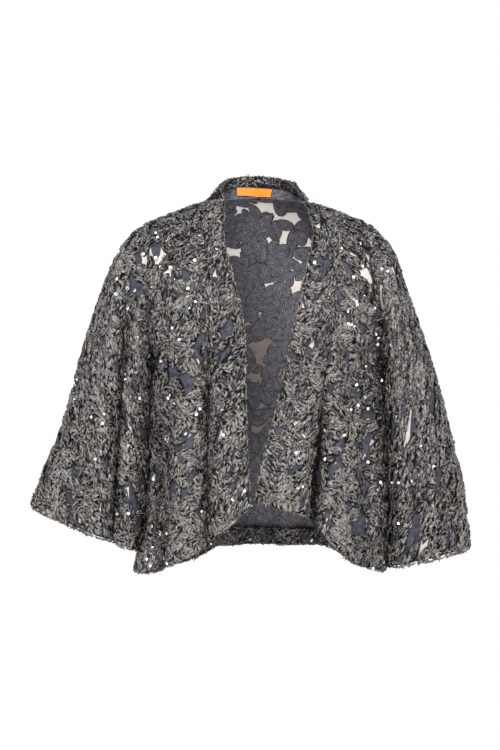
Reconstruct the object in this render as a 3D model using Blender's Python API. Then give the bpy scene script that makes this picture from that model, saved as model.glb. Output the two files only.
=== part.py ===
"""Short open-front kimono jacket, worn by nobody: a sheer net covered with gathered-ribbon applique.

Metres, +Z up. The front faces -Y and the wearer's right sleeve is at -X. The origin is where the
garment rests on its wearer: between the two points where shoulder seam and neck band meet.
Every piece is a cloth wall: its plain outer face is worked out from the tables below, its inner face
lies one cloth thickness inside, and the applique is raised in the outer points only.
"""

import math

import bpy
import numpy as np

MM = 0.001
CLOTH = 2.0 * MM
SEAM_GAP = 0.3 * MM
RIBBON_RELIEF = 2.6 * MM
RELIEF_FADE = 30 * MM
RIGHT, LEFT = -1, 1
FRONT, BACK = -1, 1

# Shoulders and armholes.
NECK_HALF = 96 * MM
SHOULDER_SLOPE = 0.374
SHOULDER_HALF = {RIGHT: 183 * MM, LEFT: 181 * MM}
SHOULDER_TIP_Z = -34 * MM
UNDERARM_Z = -247 * MM
SIDE_HEM_Z = -621 * MM
SHOULDER_ROUND = 112 * MM
ARMHOLE_DEPTH = 62 * MM
ARMHOLE_WIDEST_Z = -120 * MM
BACK_NECK_RISE = 15 * MM

# The body from hem to neck, in mm: height, half width on each side, depth in front and behind.
BODY_COLUMNS = ("z", "right", "left", "front", "back")
BODY = (
    (-630, 209, 212, 136, 143),
    (-590, 198, 219, 133, 140),
    (-560, 190, 221, 131, 138),
    (-500, 184, 222, 128, 135),
    (-430, 181, 221, 124, 131),
    (-330, 178, 214, 121, 128),
    (-275, 176, 211, 121, 129),
    (-247, 179, 211, 121, 129),
    (-140, 181, 197, 117, 127),
    (-90, 182, 189, 110, 122),
    (-34, 183, 181, 97, 113),
    (34, 183, 181, 78, 104),
)

# Seam between neck band and front panel, in mm: height, distance from the middle on each side.
BAND_SEAM_COLUMNS = ("z", "right", "left")
BAND_SEAM = (
    (-575, 87, 85),
    (-515, 85, 85),
    (-460, 83, 88),
    (-396, 80, 95),
    (-330, 77, 107),
    (-238, 78, 121),
    (-166, 80, 126),
    (-83, 85, 122),
    (-35, 91, 111),
    (0, 96, 96),
)

# Hems, in mm: distance from the middle, then the height of each panel's lower edge.
HEM_COLUMNS = ("x", "z")
FRONT_HEMS = {
    RIGHT: (
        (11, -506),
        (30, -522),
        (60, -548),
        (85, -571),
        (110, -586),
        (140, -602),
        (184, -620),
        (209, -621),
    ),
    LEFT: (
        (5, -503),
        (60, -516),
        (85, -522),
        (96, -536),
        (122, -566),
        (147, -593),
        (180, -609),
        (214, -621),
    ),
}
BACK_HEM = (
    (-209, -621),
    (-185, -624),
    (-150, -618),
    (-120, -612),
    (-86, -597),
    (-68, -588),
    (0, -586),
    (126, -588),
    (146, -600),
    (166, -615),
    (190, -621),
    (214, -621),
)

# Free edge of the neck band, in mm. In front it is read at the height of the seam beside it.
BAND_EDGE_COLUMNS = ("seam_z", "right_x", "right_z", "left_x", "left_z")
BAND_EDGE = (
    (-572, 11, -506, -5, -503),
    (-515, 12, -484, -5, -497),
    (-460, 14, -445, 4, -452),
    (-396, 17, -390, 18, -392),
    (-330, 18, -330, 35, -327),
    (-238, 19, -242, 54, -236),
    (-166, 28, -172, 68, -166),
    (-100, 43, -112, 83, -103),
    (-45, 55, -56, 93, -50),
    (-12, 54, -14, 86, -17),
    (0, 53, 4, 77, 6),
)
# Round the neck it is read at the seam's distance from the middle.
COLLAR_COLUMNS = ("seam_x", "x", "y", "z")
COLLAR = (
    (-96, -53, -44, 4),
    (-82, -62, -14, 27),
    (-62, -57, 18, 41),
    (-30, -33, 42, 50),
    (0, 0, 50, 53),
    (30, 35, 42, 48),
    (62, 60, 18, 40),
    (82, 67, -12, 29),
    (96, 77, -36, 6),
)

# Sleeves from armhole to cuff, in mm: outline seen from the front, half depth and middle in depth.
SLEEVE_COLUMNS = ("along", "outer_x", "outer_z", "inner_x", "inner_z", "depth", "middle")
SLEEVES = {
    RIGHT: (
        (0.00, -183, -34, -179, -247, 62, 0),
        (0.10, -215, -51, -182, -272, 76, 0),
        (0.20, -234, -85, -183, -300, 82, -1),
        (0.32, -255, -136, -183, -335, 84, -3),
        (0.45, -277, -200, -184, -375, 83, -6),
        (0.58, -296, -262, -185, -415, 80, -9),
        (0.70, -311, -322, -187, -457, 76, -12),
        (0.82, -329, -383, -189, -503, 72, -15),
        (0.92, -353, -440, -193, -547, 69, -17),
        (1.00, -380, -512, -201, -586, 66, -18),
    ),
    LEFT: (
        (0.00, 181, -34, 211, -247, 62, 0),
        (0.10, 211, -52, 217, -275, 76, 0),
        (0.20, 230, -85, 218, -305, 84, -1),
        (0.32, 247, -138, 219, -340, 88, -3),
        (0.45, 267, -195, 222, -380, 90, -6),
        (0.58, 287, -255, 225, -422, 90, -9),
        (0.70, 307, -323, 226, -465, 89, -12),
        (0.82, 324, -393, 227, -510, 88, -14),
        (0.92, 343, -470, 226, -558, 87, -15),
        (1.00, 357, -580, 222, -612, 86, -16),
    ),
}

# Vertical folds, in mm: line from (x, z) to (x, z), half width, and depth pressed in (minus: pushed out).
FOLD_COLUMNS = ("top_x", "top_z", "low_x", "low_z", "width", "depth")
FRONT_FOLDS = (
    (-78, -190, -86, -640, 15, 20),
    (-52, -330, -46, -640, 20, -7),
    (-118, -260, -128, -640, 24, -9),
    (-152, -330, -164, -640, 13, 9),
    (110, -290, 85, -640, 15, 19),
    (60, -330, 44, -640, 22, -7),
    (142, -280, 134, -640, 24, -9),
    (176, -330, 178, -640, 13, 8),
)
BACK_FOLDS = (
    (-128, -230, -146, -640, 20, 13),
    (-84, -300, -96, -640, 24, -10),
    (-40, -200, -46, -640, 17, 12),
    (6, -330, 4, -640, 26, -9),
    (50, -240, 56, -640, 18, 14),
    (98, -290, 108, -640, 25, -11),
    (140, -210, 156, -640, 19, 12),
)
SLEEVE_FRONT_FOLDS = {
    RIGHT: ((-208, -70, -242, -560, 12, 27), (-270, -300, -318, -560, 24, 8)),
    LEFT: ((246, -210, 268, -640, 17, 14), (300, -380, 316, -640, 20, 7)),
}
SLEEVE_BACK_FOLDS = {
    RIGHT: ((-226, -130, -262, -560, 18, 15), (-290, -320, -330, -560, 20, 9)),
    LEFT: ((238, -150, 262, -640, 18, 15), (292, -320, 312, -640, 20, 9)),
}
# A fold deepens over this height, and fades towards the side seams.
FOLD_START = 140 * MM
BODY_FOLD_FADE = 2.5
SLEEVE_FOLD_FADE = 1.6

# Sections seen from above: a power of 1 is an ellipse, and less is squarer.
BODY_ROUND_OFF = 0.9
SLEEVE_ROUND_OFF = 0.92
# Share of the sleeve's length over which the armhole's ring turns into the tube.
ARMHOLE_BLEND = 0.22

# Grids: how many stretches of cloth each wall is worked out in.
ROWS_ABOVE_UNDERARM = 14
ROWS_BELOW_UNDERARM = 18
ROW_CROWDING = 1.7
FRONT_STRIPS = 15
BACK_STRIPS = 44
SLEEVE_STRIPS = 38
SLEEVE_ROWS = 24
BAND_STRIPS = 6
ARMHOLE_RINGS = 4

# Strips lie closer together round the folds: where (0 to 1 across), how much, and how far round each.
FRONT_CROWDING = ((0.0, 0.3), 1.6, 0.07)
BACK_CROWDING = ((0.12, 0.38, 0.62, 0.86), 0.7, 0.05)
SLEEVE_CROWDING = {RIGHT: ((0.33, 0.67), 1.3, 0.08), LEFT: ((0.3, 0.7), 1.3, 0.08)}
CROWDING_STEPS = 2001

# Inside details. The label's lift is its distance from the neckline.
TURNOVER_STRIPS = 3
HEM_TURNUP_DEPTH = 30 * MM
LABEL_WIDTH = 63 * MM
LABEL_HEIGHT = 16 * MM
LABEL_THICK = 0.8 * MM
INSIDE_CLEARANCE = 0.95 * MM
LABEL_MIDDLE = -4 * MM
LABEL_LIFT = 2 * MM
LABEL_TILT = math.radians(2.2)
TURNOVER_WAY = -1
LABEL_WAY = 1

# Applique: rosettes of leaf-shaped lobes, with single leaves between them.
ROSETTE_PITCH = 78 * MM
PETAL_LENGTH = 19 * MM
PETAL_WIDTH = 10 * MM
PETAL_RING = 22 * MM
PETAL_SIZES = (0.85, 1.1)
FEWEST_PETALS, MOST_PETALS = 5, 7
ROSETTE_SHIFT = 0.16 * ROSETTE_PITCH
FRONT_SEEDS = {RIGHT: 11, LEFT: 12}
SLEEVE_SEEDS = {RIGHT: 13, LEFT: 14}
BACK_SEED = 15
BAND_SEED = 16

# Colours, as linear values.
CHARCOAL = (0.105, 0.100, 0.102)
ORANGE = (0.98, 0.29, 0.04)


def curve(at, keys, values):
    """Height at the places at of a smooth curve through a table's points, with no overshoot."""
    keys = np.asarray(keys, float)
    values = np.asarray(values, float)
    step = np.diff(keys)
    slope = np.diff(values) / step
    tangent = np.zeros(len(values))
    before, after = slope[:-1], slope[1:]
    same_way = before * after > 0
    total = np.where(same_way, before + after, 1.0)
    tangent[1:-1] = np.where(same_way, 2 * before * after / total, 0.0)
    tangent[0], tangent[-1] = slope[0], slope[-1]
    at = np.clip(at, keys[0], keys[-1])
    row = np.clip(np.searchsorted(keys, at, side="right") - 1, 0, len(step) - 1)
    f = (at - keys[row]) / step[row]
    start = values[row] * (1 + 2 * f) * (1 - f) ** 2 + tangent[row] * step[row] * f * (1 - f) ** 2
    end = values[row + 1] * f**2 * (3 - 2 * f) + tangent[row + 1] * step[row] * f**2 * (f - 1)
    return start + end


def column(table, columns, name):
    return np.array([row[columns.index(name)] for row in table], float)


def from_table(at, table, columns, key, name):
    """A named column of a table in mm, read at a length in metres."""
    return curve(np.asarray(at) / MM, column(table, columns, key), column(table, columns, name)) * MM


def ease(f):
    f = np.clip(f, 0.0, 1.0)
    return f * f * (3 - 2 * f)


def side_name(side):
    return "right" if side == RIGHT else "left"


def side_half(z, side):
    return from_table(z, BODY, BODY_COLUMNS, "z", side_name(side))


def seam_half(z, side):
    return from_table(z, BAND_SEAM, BAND_SEAM_COLUMNS, "z", side_name(side))


def shoulder_z(x):
    return -SHOULDER_SLOPE * (np.abs(x) - NECK_HALF)


def armhole_depth(z):
    """Half depth of the armhole: full at the shoulder, nothing from the underarm down."""
    f = np.clip((ARMHOLE_WIDEST_Z - z) / (ARMHOLE_WIDEST_Z - UNDERARM_Z), 0.0, 1.0)
    return ARMHOLE_DEPTH * np.sqrt(1 - f * f)


def shoulder_rounding(x, z):
    """From 0 on the shoulder line to 1 where the cloth hangs."""
    f = np.clip((shoulder_z(x) - z) / SHOULDER_ROUND, 0.0, 1.0)
    return np.sqrt(1 - (1 - f) ** 2)


def folds(table, x, z):
    """How far the folds of a table press the cloth in at (x, z)."""
    pressed = np.zeros(np.broadcast(x, z).shape)
    for row in table:
        top_x, top_z, low_x, low_z, width, depth = (value * MM for value in row)
        line_x = top_x + (low_x - top_x) * (top_z - z) / (top_z - low_z)
        across = (x - line_x) / width
        pressed += depth * np.exp(-across * across) * ease((top_z - z) / FOLD_START)
    return pressed


def trunk(side_angle, z, face):
    """Point of the body's cloth: side_angle is -90 to 90 degrees from the middle, face is FRONT or BACK."""
    side = np.where(side_angle < 0, RIGHT, LEFT)
    half = np.where(side == RIGHT, side_half(z, RIGHT), side_half(z, LEFT))
    x = half * np.sin(side_angle)
    full = from_table(z, BODY, BODY_COLUMNS, "z", "front" if face == FRONT else "back")
    at_side = armhole_depth(z)
    round_off = np.cos(side_angle) ** BODY_ROUND_OFF
    depth = at_side + (full - at_side) * round_off
    pressed = folds(FRONT_FOLDS if face == FRONT else BACK_FOLDS, x, z)
    pressed = pressed * np.minimum(1.0, BODY_FOLD_FADE * round_off)
    depth = (depth - pressed) * shoulder_rounding(x, z)
    return np.stack([x, face * (depth + SEAM_GAP / 2), z + 0 * x], axis=-1)


def row_places():
    """Places of the rows from shoulder (0) to hem (1): close on the shoulder, and one at the underarm."""
    underarm = (SHOULDER_TIP_Z - UNDERARM_Z) / (SHOULDER_TIP_Z - SIDE_HEM_Z)
    above = underarm * np.linspace(0, 1, ROWS_ABOVE_UNDERARM + 1) ** ROW_CROWDING
    below = np.linspace(underarm, 1, ROWS_BELOW_UNDERARM + 1)
    return np.concatenate([above, below[1:]])


def spread(count, crowding):
    """Places from 0 to 1, closer together round each place named in the crowding."""
    places, tightness, reach = crowding
    fine = np.linspace(0, 1, CROWDING_STEPS)
    weight = np.ones_like(fine)
    for place in places:
        weight += tightness * np.exp(-(((fine - place) / reach) ** 2))
    run = np.concatenate([[0], np.cumsum((weight[1:] + weight[:-1]) / 2)])
    return np.interp(np.linspace(0, run[-1], count + 1), run, fine)


def front_grid(side):
    """Rows from shoulder to hem, strips from the band's seam to the side."""
    table = FRONT_HEMS[side]
    down = row_places()[:, None]
    across = spread(FRONT_STRIPS, FRONT_CROWDING)[None, :]
    seam_low = from_table(seam_half(SIDE_HEM_Z, side), table, HEM_COLUMNS, "x", "z")
    seam_z = seam_low * down
    seam_angle = np.arcsin(np.minimum(seam_half(seam_z, side) / side_half(seam_z, side), 1.0))
    angle = seam_angle + (math.pi / 2 - seam_angle) * across
    top_angle = math.asin(NECK_HALF / SHOULDER_HALF[side])
    top_angle = top_angle + (math.pi / 2 - top_angle) * across
    top_z = shoulder_z(SHOULDER_HALF[side] * np.sin(top_angle))
    hem_half = side_half(SIDE_HEM_Z, side)
    low_angle = np.arcsin(seam_half(seam_low, side) / hem_half)
    low_angle = low_angle + (math.pi / 2 - low_angle) * across
    low_z = from_table(hem_half * np.sin(low_angle), table, HEM_COLUMNS, "x", "z")
    z = top_z + (low_z - top_z) * down
    points = trunk(side * angle, z, FRONT)
    points[:, 0, 0] += side * SEAM_GAP
    return points


def back_grid():
    """Rows from shoulder and neckline to hem, strips from the right side to the left."""
    down = row_places()[:, None]
    across = spread(BACK_STRIPS, BACK_CROWDING)[None, :] * 2 - 1
    angle = across * math.pi / 2
    widest = np.where(angle < 0, SHOULDER_HALF[RIGHT], SHOULDER_HALF[LEFT])
    top_x = widest * np.sin(angle)
    neckline = BACK_NECK_RISE * (1 - (top_x / NECK_HALF) ** 2)
    top_z = np.where(np.abs(top_x) < NECK_HALF, neckline, shoulder_z(top_x))
    hem_half = np.where(angle < 0, side_half(SIDE_HEM_Z, RIGHT), side_half(SIDE_HEM_Z, LEFT))
    low_z = from_table(hem_half * np.sin(angle), BACK_HEM, HEM_COLUMNS, "x", "z")
    z = top_z + (low_z - top_z) * down
    return trunk(angle, z, BACK)


def armhole(angle, side):
    """Point of the sleeve's first ring, in the slanting plane that the body's armhole edge lies in."""
    middle = (SHOULDER_TIP_Z + UNDERARM_Z) / 2
    z = middle + (SHOULDER_TIP_Z - UNDERARM_Z) / 2 * np.cos(angle)
    x = side * side_half(z, side)
    depth = armhole_depth(z) * shoulder_rounding(x, z)
    return np.stack([x + side * SEAM_GAP, -np.sign(np.sin(angle)) * depth, z], axis=-1)


def sleeve_grid(side):
    """Rings from armhole to cuff, strips once round from the top of the arm over the front."""
    along = np.linspace(0, 1, SLEEVE_ROWS + 1)[:, None]
    place = spread(SLEEVE_STRIPS, SLEEVE_CROWDING[side])[:-1]
    angle = place[None, :] * 2 * math.pi
    table = SLEEVES[side]
    keys = column(table, SLEEVE_COLUMNS, "along")
    value = {}
    for name in SLEEVE_COLUMNS[1:]:
        value[name] = curve(along, keys, column(table, SLEEVE_COLUMNS, name)) * MM
    out = (1 + np.cos(angle)) / 2
    x = value["inner_x"] + (value["outer_x"] - value["inner_x"]) * out
    z = value["inner_z"] + (value["outer_z"] - value["inner_z"]) * out
    front = np.sin(angle) > 0
    front_pressed = folds(SLEEVE_FRONT_FOLDS[side], x, z)
    back_pressed = folds(SLEEVE_BACK_FOLDS[side], x, z)
    pressed = np.where(front, front_pressed, back_pressed)
    round_off = np.abs(np.sin(angle))
    depth = value["depth"] * round_off**SLEEVE_ROUND_OFF
    depth -= pressed * np.minimum(1.0, SLEEVE_FOLD_FADE * round_off)
    tube = np.stack([x, value["middle"] - np.where(front, 1, -1) * depth, z], axis=-1)
    into_tube = ease(along / ARMHOLE_BLEND)[..., None]
    return armhole(angle + 0 * along, side) * (1 - into_tube) + tube * into_tube


def normals_of(points, outward, closed=False):
    """Unit normals of a grid, pointing out of the garment; outward is 1 where rows cross strips that way."""
    if closed:
        across = np.roll(points, -1, axis=1) - np.roll(points, 1, axis=1)
    else:
        across = np.gradient(points, axis=1)
    normal = outward * np.cross(np.gradient(points, axis=0), across)
    return normal / np.maximum(np.linalg.norm(normal, axis=-1, keepdims=True), 1e-12)


def within_plane(normals, plane):
    """The normals turned into the plane of a seam, so that the two walls beside it lie edge to edge."""
    plane = np.asarray(plane, float) / np.linalg.norm(plane)
    normals = normals - (normals @ plane)[..., None] * plane
    return normals / np.linalg.norm(normals, axis=-1, keepdims=True)


def armhole_plane(side):
    lean = (side_half(UNDERARM_Z, side) - side_half(SHOULDER_TIP_Z, side)) / (SHOULDER_TIP_Z - UNDERARM_Z)
    return (side, 0, side * lean)


def turn_side_edge(normals, strip, side):
    """Above the underarm the edge is the armhole's, and below it the side seam's."""
    upper, lower = slice(0, ROWS_ABOVE_UNDERARM), slice(ROWS_ABOVE_UNDERARM, None)
    normals[upper, strip] = within_plane(normals[upper, strip], armhole_plane(side))
    normals[lower, strip] = within_plane(normals[lower, strip], (0, 1, 0))


def flat_places(points):
    """Where each grid point lies on the flat piece: distance across and distance down."""
    across = np.linalg.norm(np.diff(points, axis=1), axis=-1)
    across = np.concatenate([np.zeros((len(points), 1)), np.cumsum(across, axis=1)], axis=1)
    down = np.linalg.norm(np.diff(points, axis=0), axis=-1)
    down = np.concatenate([np.zeros((1, points.shape[1])), np.cumsum(down, axis=0)], axis=0)
    return across, down


def lobes(width, length, seed):
    """Leaf-shaped lobes of the applique on a flat piece: centre, direction, half length, half width."""
    dice = np.random.default_rng(seed)
    found = []
    row_rise = ROSETTE_PITCH * math.sqrt(3) / 2
    for row in range(-1, int(length / row_rise) + 2):
        for place in range(-1, int(width / ROSETTE_PITCH) + 2):
            shift_x, shift_y = dice.uniform(-ROSETTE_SHIFT, ROSETTE_SHIFT, 2)
            centre_x = (place + 0.5 * (row % 2)) * ROSETTE_PITCH + shift_x
            centre_y = row * row_rise + shift_y
            petals = int(dice.integers(FEWEST_PETALS, MOST_PETALS + 1))
            turn = dice.uniform(0, 2 * math.pi)
            for petal in range(petals):
                angle = turn + 2 * math.pi * petal / petals
                x = centre_x + PETAL_RING * math.cos(angle)
                y = centre_y + PETAL_RING * math.sin(angle)
                size = dice.uniform(*PETAL_SIZES)
                found.append((x, y, angle, PETAL_LENGTH * size, PETAL_WIDTH * size))
            angle = dice.uniform(0, math.pi)
            found.append((centre_x + ROSETTE_PITCH / 2, centre_y, angle, PETAL_LENGTH, PETAL_WIDTH))
    return found


def relief_of(points, seed, seams):
    """Height of the applique over the plain cloth. It sinks to nothing at the seams named."""
    across, down = flat_places(points)
    height = np.zeros(across.shape)
    for x, y, turn, length, width in lobes(across.max(), down.max(), seed):
        along = (across - x) * math.cos(turn) + (down - y) * math.sin(turn)
        aside = (down - y) * math.cos(turn) - (across - x) * math.sin(turn)
        inside = 1 - (along / length) ** 2 - (aside / width) ** 2
        height = np.maximum(height, np.sqrt(np.clip(inside, 0.0, 1.0)))
    room = {
        "first_strip": across,
        "last_strip": across[:, -1:] - across,
        "first_row": down,
        "last_row": down[-1:, :] - down,
    }
    for seam in seams:
        height = height * ease(room[seam] / RELIEF_FADE)
    return RIBBON_RELIEF * height


def wall(name, points, normals, relief, outward=1, closed=False, inner_step=2, cloth=CLOTH):
    """A closed cloth wall. The inside is plain, and has every row of the outside or every second one."""
    if outward < 0:
        points, normals, relief = points[:, ::-1], normals[:, ::-1], relief[:, ::-1]
    rows, strips = points.shape[:2]
    outer = points + normals * relief[..., None]
    inner = (points - normals * cloth)[::inner_step]
    vertices = np.concatenate([outer.reshape(-1, 3), inner.reshape(-1, 3)])

    def out(row, strip):
        return row * strips + strip % strips

    def within(row, strip):
        return rows * strips + row // inner_step * strips + strip % strips

    faces = []
    stretches = strips if closed else strips - 1
    for row in range(rows - 1):
        for strip in range(stretches):
            faces.append((out(row, strip), out(row + 1, strip), out(row + 1, strip + 1), out(row, strip + 1)))
    for row in range(0, rows - 1, inner_step):
        below = row + inner_step
        for strip in range(stretches):
            faces.append(
                (within(row, strip), within(row, strip + 1), within(below, strip + 1), within(below, strip))
            )
        if closed:
            continue
        for strip, turned in ((0, False), (strips - 1, True)):
            edge = [out(step, strip) for step in range(row, below + 1)]
            edge += [within(below, strip), within(row, strip)]
            faces.append(edge if turned else edge[::-1])
    for strip in range(stretches):
        faces.append((out(0, strip), out(0, strip + 1), within(0, strip + 1), within(0, strip)))
        low = rows - 1
        faces.append((out(low, strip + 1), out(low, strip), within(low, strip), within(low, strip + 1)))
    mesh = bpy.data.meshes.new(name)
    mesh.from_pydata(vertices.tolist(), [], faces)
    mesh.update()
    return mesh


def neck_stretch(back):
    """The strips of the back panel whose top edge is the neckline."""
    return np.nonzero(np.abs(back[0, :, 0]) < NECK_HALF - SEAM_GAP)[0]


def band_line(seam, side):
    """Points across the front of the neck band, from the seam to the free edge, on the body's surface."""
    name = side_name(side)
    free_x = side * from_table(seam[2], BAND_EDGE, BAND_EDGE_COLUMNS, "seam_z", name + "_x")
    free_z = from_table(seam[2], BAND_EDGE, BAND_EDGE_COLUMNS, "seam_z", name + "_z")
    across = np.linspace(0, 1, BAND_STRIPS + 1)
    x = seam[0] + (free_x - seam[0]) * across
    z = seam[2] + (free_z - seam[2]) * across
    half = np.where(x < 0, side_half(z, RIGHT), side_half(z, LEFT))
    line = trunk(np.arcsin(x / half), z, FRONT)
    line[0] = seam
    return line


def collar_line(seam):
    """Points up the back of the neck band, from the neckline to the free edge."""
    free = np.array([from_table(seam[0], COLLAR, COLLAR_COLUMNS, "seam_x", axis) for axis in "xyz"])
    across = np.linspace(0, 1, BAND_STRIPS + 1)[:, None]
    away = (free - seam) / np.linalg.norm(free - seam)
    start = seam + away * SEAM_GAP
    return start + (free - start) * across


def band_grid(fronts, back, front_normals, back_normals):
    """Rows from the right hem up round the neck to the left hem, strips from the seam to the free edge."""
    rows, seam_normals = [], []
    for seam, normal in zip(fronts[RIGHT][::-1, 0], front_normals[RIGHT][::-1, 0]):
        rows.append(band_line(seam + np.array([2 * SEAM_GAP, 0, 0]), RIGHT))
        seam_normals.append(normal)
    for strip in neck_stretch(back):
        rows.append(collar_line(back[0, strip]))
        seam_normals.append(back_normals[0, strip])
    for seam, normal in zip(fronts[LEFT][:, 0], front_normals[LEFT][:, 0]):
        rows.append(band_line(seam - np.array([2 * SEAM_GAP, 0, 0]), LEFT))
        seam_normals.append(normal)
    band = np.array(rows)
    normals = normals_of(band, -1)
    normals[:, 0] = seam_normals
    return band, normals


def neck_rows(band):
    """Every second row of the band round the back of the neck, where its plain inside has its points."""
    first = ROWS_ABOVE_UNDERARM + ROWS_BELOW_UNDERARM + 2
    return slice(first, len(band) - first + 1, 2)


def inside_band(band, normals, rows, strips, clearance):
    """Points on the band's inside and normals facing the neck; rows and strips may be between the grid's."""
    at = neck_rows(band)
    field = np.concatenate([band[at] - normals[at] * CLOTH, -normals[at]], axis=-1)
    row, strip = np.minimum(rows.astype(int), len(field) - 2), np.minimum(strips.astype(int), BAND_STRIPS - 1)
    f, g = (rows - row)[..., None], (strips - strip)[..., None]
    upper = field[row, strip] * (1 - g) + field[row, strip + 1] * g
    lower = field[row + 1, strip] * (1 - g) + field[row + 1, strip + 1] * g
    mixed = upper * (1 - f) + lower * f
    facing = mixed[..., 3:] / np.linalg.norm(mixed[..., 3:], axis=-1, keepdims=True)
    return mixed[..., :3] + facing * clearance, facing


def turnover_grid(band, normals):
    """The band's top edge, folded over to the inside round the back of the neck."""
    rows = np.arange(1, len(band[neck_rows(band)]) - 1)[:, None]
    strips = np.linspace(BAND_STRIPS, BAND_STRIPS - TURNOVER_STRIPS, TURNOVER_STRIPS + 1)[None, :]
    rows, strips = np.broadcast_arrays(rows.astype(float), strips)
    return inside_band(band, normals, rows, strips, CLOTH + INSIDE_CLEARANCE)


def label_grid(band, normals):
    """The neck label, lying on the inside of the band below the turnover."""
    middle = band[neck_rows(band), BAND_STRIPS // 2, 0]
    ends = LABEL_MIDDLE + np.array([-0.5, 0.5]) * LABEL_WIDTH
    between = middle[(middle > ends[0] + LABEL_THICK) & (middle < ends[1] - LABEL_THICK)]
    places = np.concatenate([ends[:1], between, ends[1:]])[:, None]
    rows = np.interp(places, middle, np.arange(len(middle)))
    band_height = np.linalg.norm(band[len(band) // 2, -1] - band[len(band) // 2, 0])
    lift = LABEL_LIFT - (places - LABEL_MIDDLE) * math.tan(LABEL_TILT)
    strips = (lift + np.linspace(0, LABEL_HEIGHT, 4)[None, :]) / band_height * BAND_STRIPS
    rows, strips = np.broadcast_arrays(rows, strips)
    return inside_band(band, normals, rows, strips, LABEL_THICK + INSIDE_CLEARANCE)


def turnup_grid(back, normals):
    """The back hem, turned up on the inside with its ribbon side showing."""
    inside = back - normals * (2 * CLOTH + 2 * SEAM_GAP)
    hem, above = inside[-1, 1:-1], inside[-3, 1:-1]
    up = (above - hem) / np.linalg.norm(above - hem, axis=-1, keepdims=True)
    heights = np.linspace(0, HEM_TURNUP_DEPTH, 3)[::-1, None, None]
    return hem[None] + up[None] * heights, np.repeat(-normals[-1:, 1:-1], 3, axis=0)


def cloth_finish(name, colour):
    """Matt dyed cloth."""
    made = bpy.data.materials.new(name)
    made.use_nodes = True
    shader = made.node_tree.nodes["Principled BSDF"]
    shader.inputs["Base Color"].default_value = (*colour, 1.0)
    shader.inputs["Roughness"].default_value = 0.8
    shader.inputs["Metallic"].default_value = 0.0
    return made


def add_piece(collection, mesh, colour):
    mesh.materials.append(cloth_finish(mesh.name + "_cloth", colour))
    collection.objects.link(bpy.data.objects.new(mesh.name, mesh))


def clear_scene():
    for thing in list(bpy.data.objects):
        bpy.data.objects.remove(thing, do_unlink=True)


def build_jacket():
    jacket = bpy.data.collections.new("open_kimono_jacket")
    bpy.context.scene.collection.children.link(jacket)

    fronts = {side: front_grid(side) for side in (RIGHT, LEFT)}
    front_normals = {side: normals_of(fronts[side], side) for side in (RIGHT, LEFT)}
    for side in (RIGHT, LEFT):
        front_normals[side][0] = within_plane(front_normals[side][0], (0, 1, 0))
        turn_side_edge(front_normals[side], -1, side)
        front_normals[side][1:, 0] = within_plane(front_normals[side][1:, 0], (1, 0, 0))
        name = side_name(side) + "_front"
        relief = relief_of(fronts[side], FRONT_SEEDS[side], ("first_row", "first_strip", "last_strip"))
        add_piece(jacket, wall(name, fronts[side], front_normals[side], relief, side), CHARCOAL)

    back = back_grid()
    back_normals = normals_of(back, -1)
    on_shoulder = np.abs(back[0, :, 0]) >= NECK_HALF - SEAM_GAP
    back_normals[0, on_shoulder] = within_plane(back_normals[0, on_shoulder], (0, 1, 0))
    turn_side_edge(back_normals, 0, RIGHT)
    turn_side_edge(back_normals, -1, LEFT)
    relief = relief_of(back, BACK_SEED, ("first_row", "first_strip", "last_strip"))
    add_piece(jacket, wall("back", back, back_normals, relief, -1), CHARCOAL)

    for side in (RIGHT, LEFT):
        sleeve = sleeve_grid(side)
        outward = -side
        normals = normals_of(sleeve, outward, closed=True)
        for ring in range(ARMHOLE_RINGS):
            normals[ring] = within_plane(normals[ring], armhole_plane(side))
        relief = relief_of(sleeve, SLEEVE_SEEDS[side], ("first_row",))
        name = side_name(side) + "_sleeve"
        add_piece(jacket, wall(name, sleeve, normals, relief, outward, closed=True), CHARCOAL)

    band, band_normals = band_grid(fronts, back, front_normals, back_normals)
    relief = relief_of(band, BAND_SEED, ("first_strip",))
    add_piece(jacket, wall("neck_band", band, band_normals, relief, -1), CHARCOAL)

    turnover, facing = turnover_grid(band, band_normals)
    flat = np.zeros(turnover.shape[:2])
    add_piece(jacket, wall("neck_turnover", turnover, facing, flat, TURNOVER_WAY, inner_step=1), CHARCOAL)
    tag, facing = label_grid(band, band_normals)
    flat = np.zeros(tag.shape[:2])
    mesh = wall("neck_label", tag, facing, flat, LABEL_WAY, inner_step=1, cloth=LABEL_THICK)
    add_piece(jacket, mesh, ORANGE)
    turnup, facing = turnup_grid(back, back_normals)
    flat = np.zeros(turnup.shape[:2])
    add_piece(jacket, wall("back_hem_turnup", turnup, facing, flat, 1, inner_step=1), CHARCOAL)


clear_scene()
build_jacket()
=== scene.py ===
import math

import bmesh
import bpy
import numpy as np
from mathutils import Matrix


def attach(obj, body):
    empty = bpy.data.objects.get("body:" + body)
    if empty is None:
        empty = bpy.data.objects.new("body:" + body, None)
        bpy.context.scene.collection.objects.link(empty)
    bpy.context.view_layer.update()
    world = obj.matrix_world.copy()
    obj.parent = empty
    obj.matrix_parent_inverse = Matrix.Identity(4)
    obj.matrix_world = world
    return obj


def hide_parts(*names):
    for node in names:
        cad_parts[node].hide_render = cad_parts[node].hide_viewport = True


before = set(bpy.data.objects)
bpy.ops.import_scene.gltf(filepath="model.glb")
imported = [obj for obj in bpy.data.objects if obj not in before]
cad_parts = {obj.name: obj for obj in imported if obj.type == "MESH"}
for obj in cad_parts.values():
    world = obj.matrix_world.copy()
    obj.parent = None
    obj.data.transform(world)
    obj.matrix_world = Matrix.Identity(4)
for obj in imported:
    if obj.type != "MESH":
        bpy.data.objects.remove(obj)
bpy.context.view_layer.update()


# Back panel.
# The garment's largest piece: one width of fine nude tulle from the shoulder seams to the hem,
# cut with the flare that lets it fall in soft flutes. All the applique is sewn to such net.
MM = 0.001
RIGHT, LEFT = -1, 1
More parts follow.
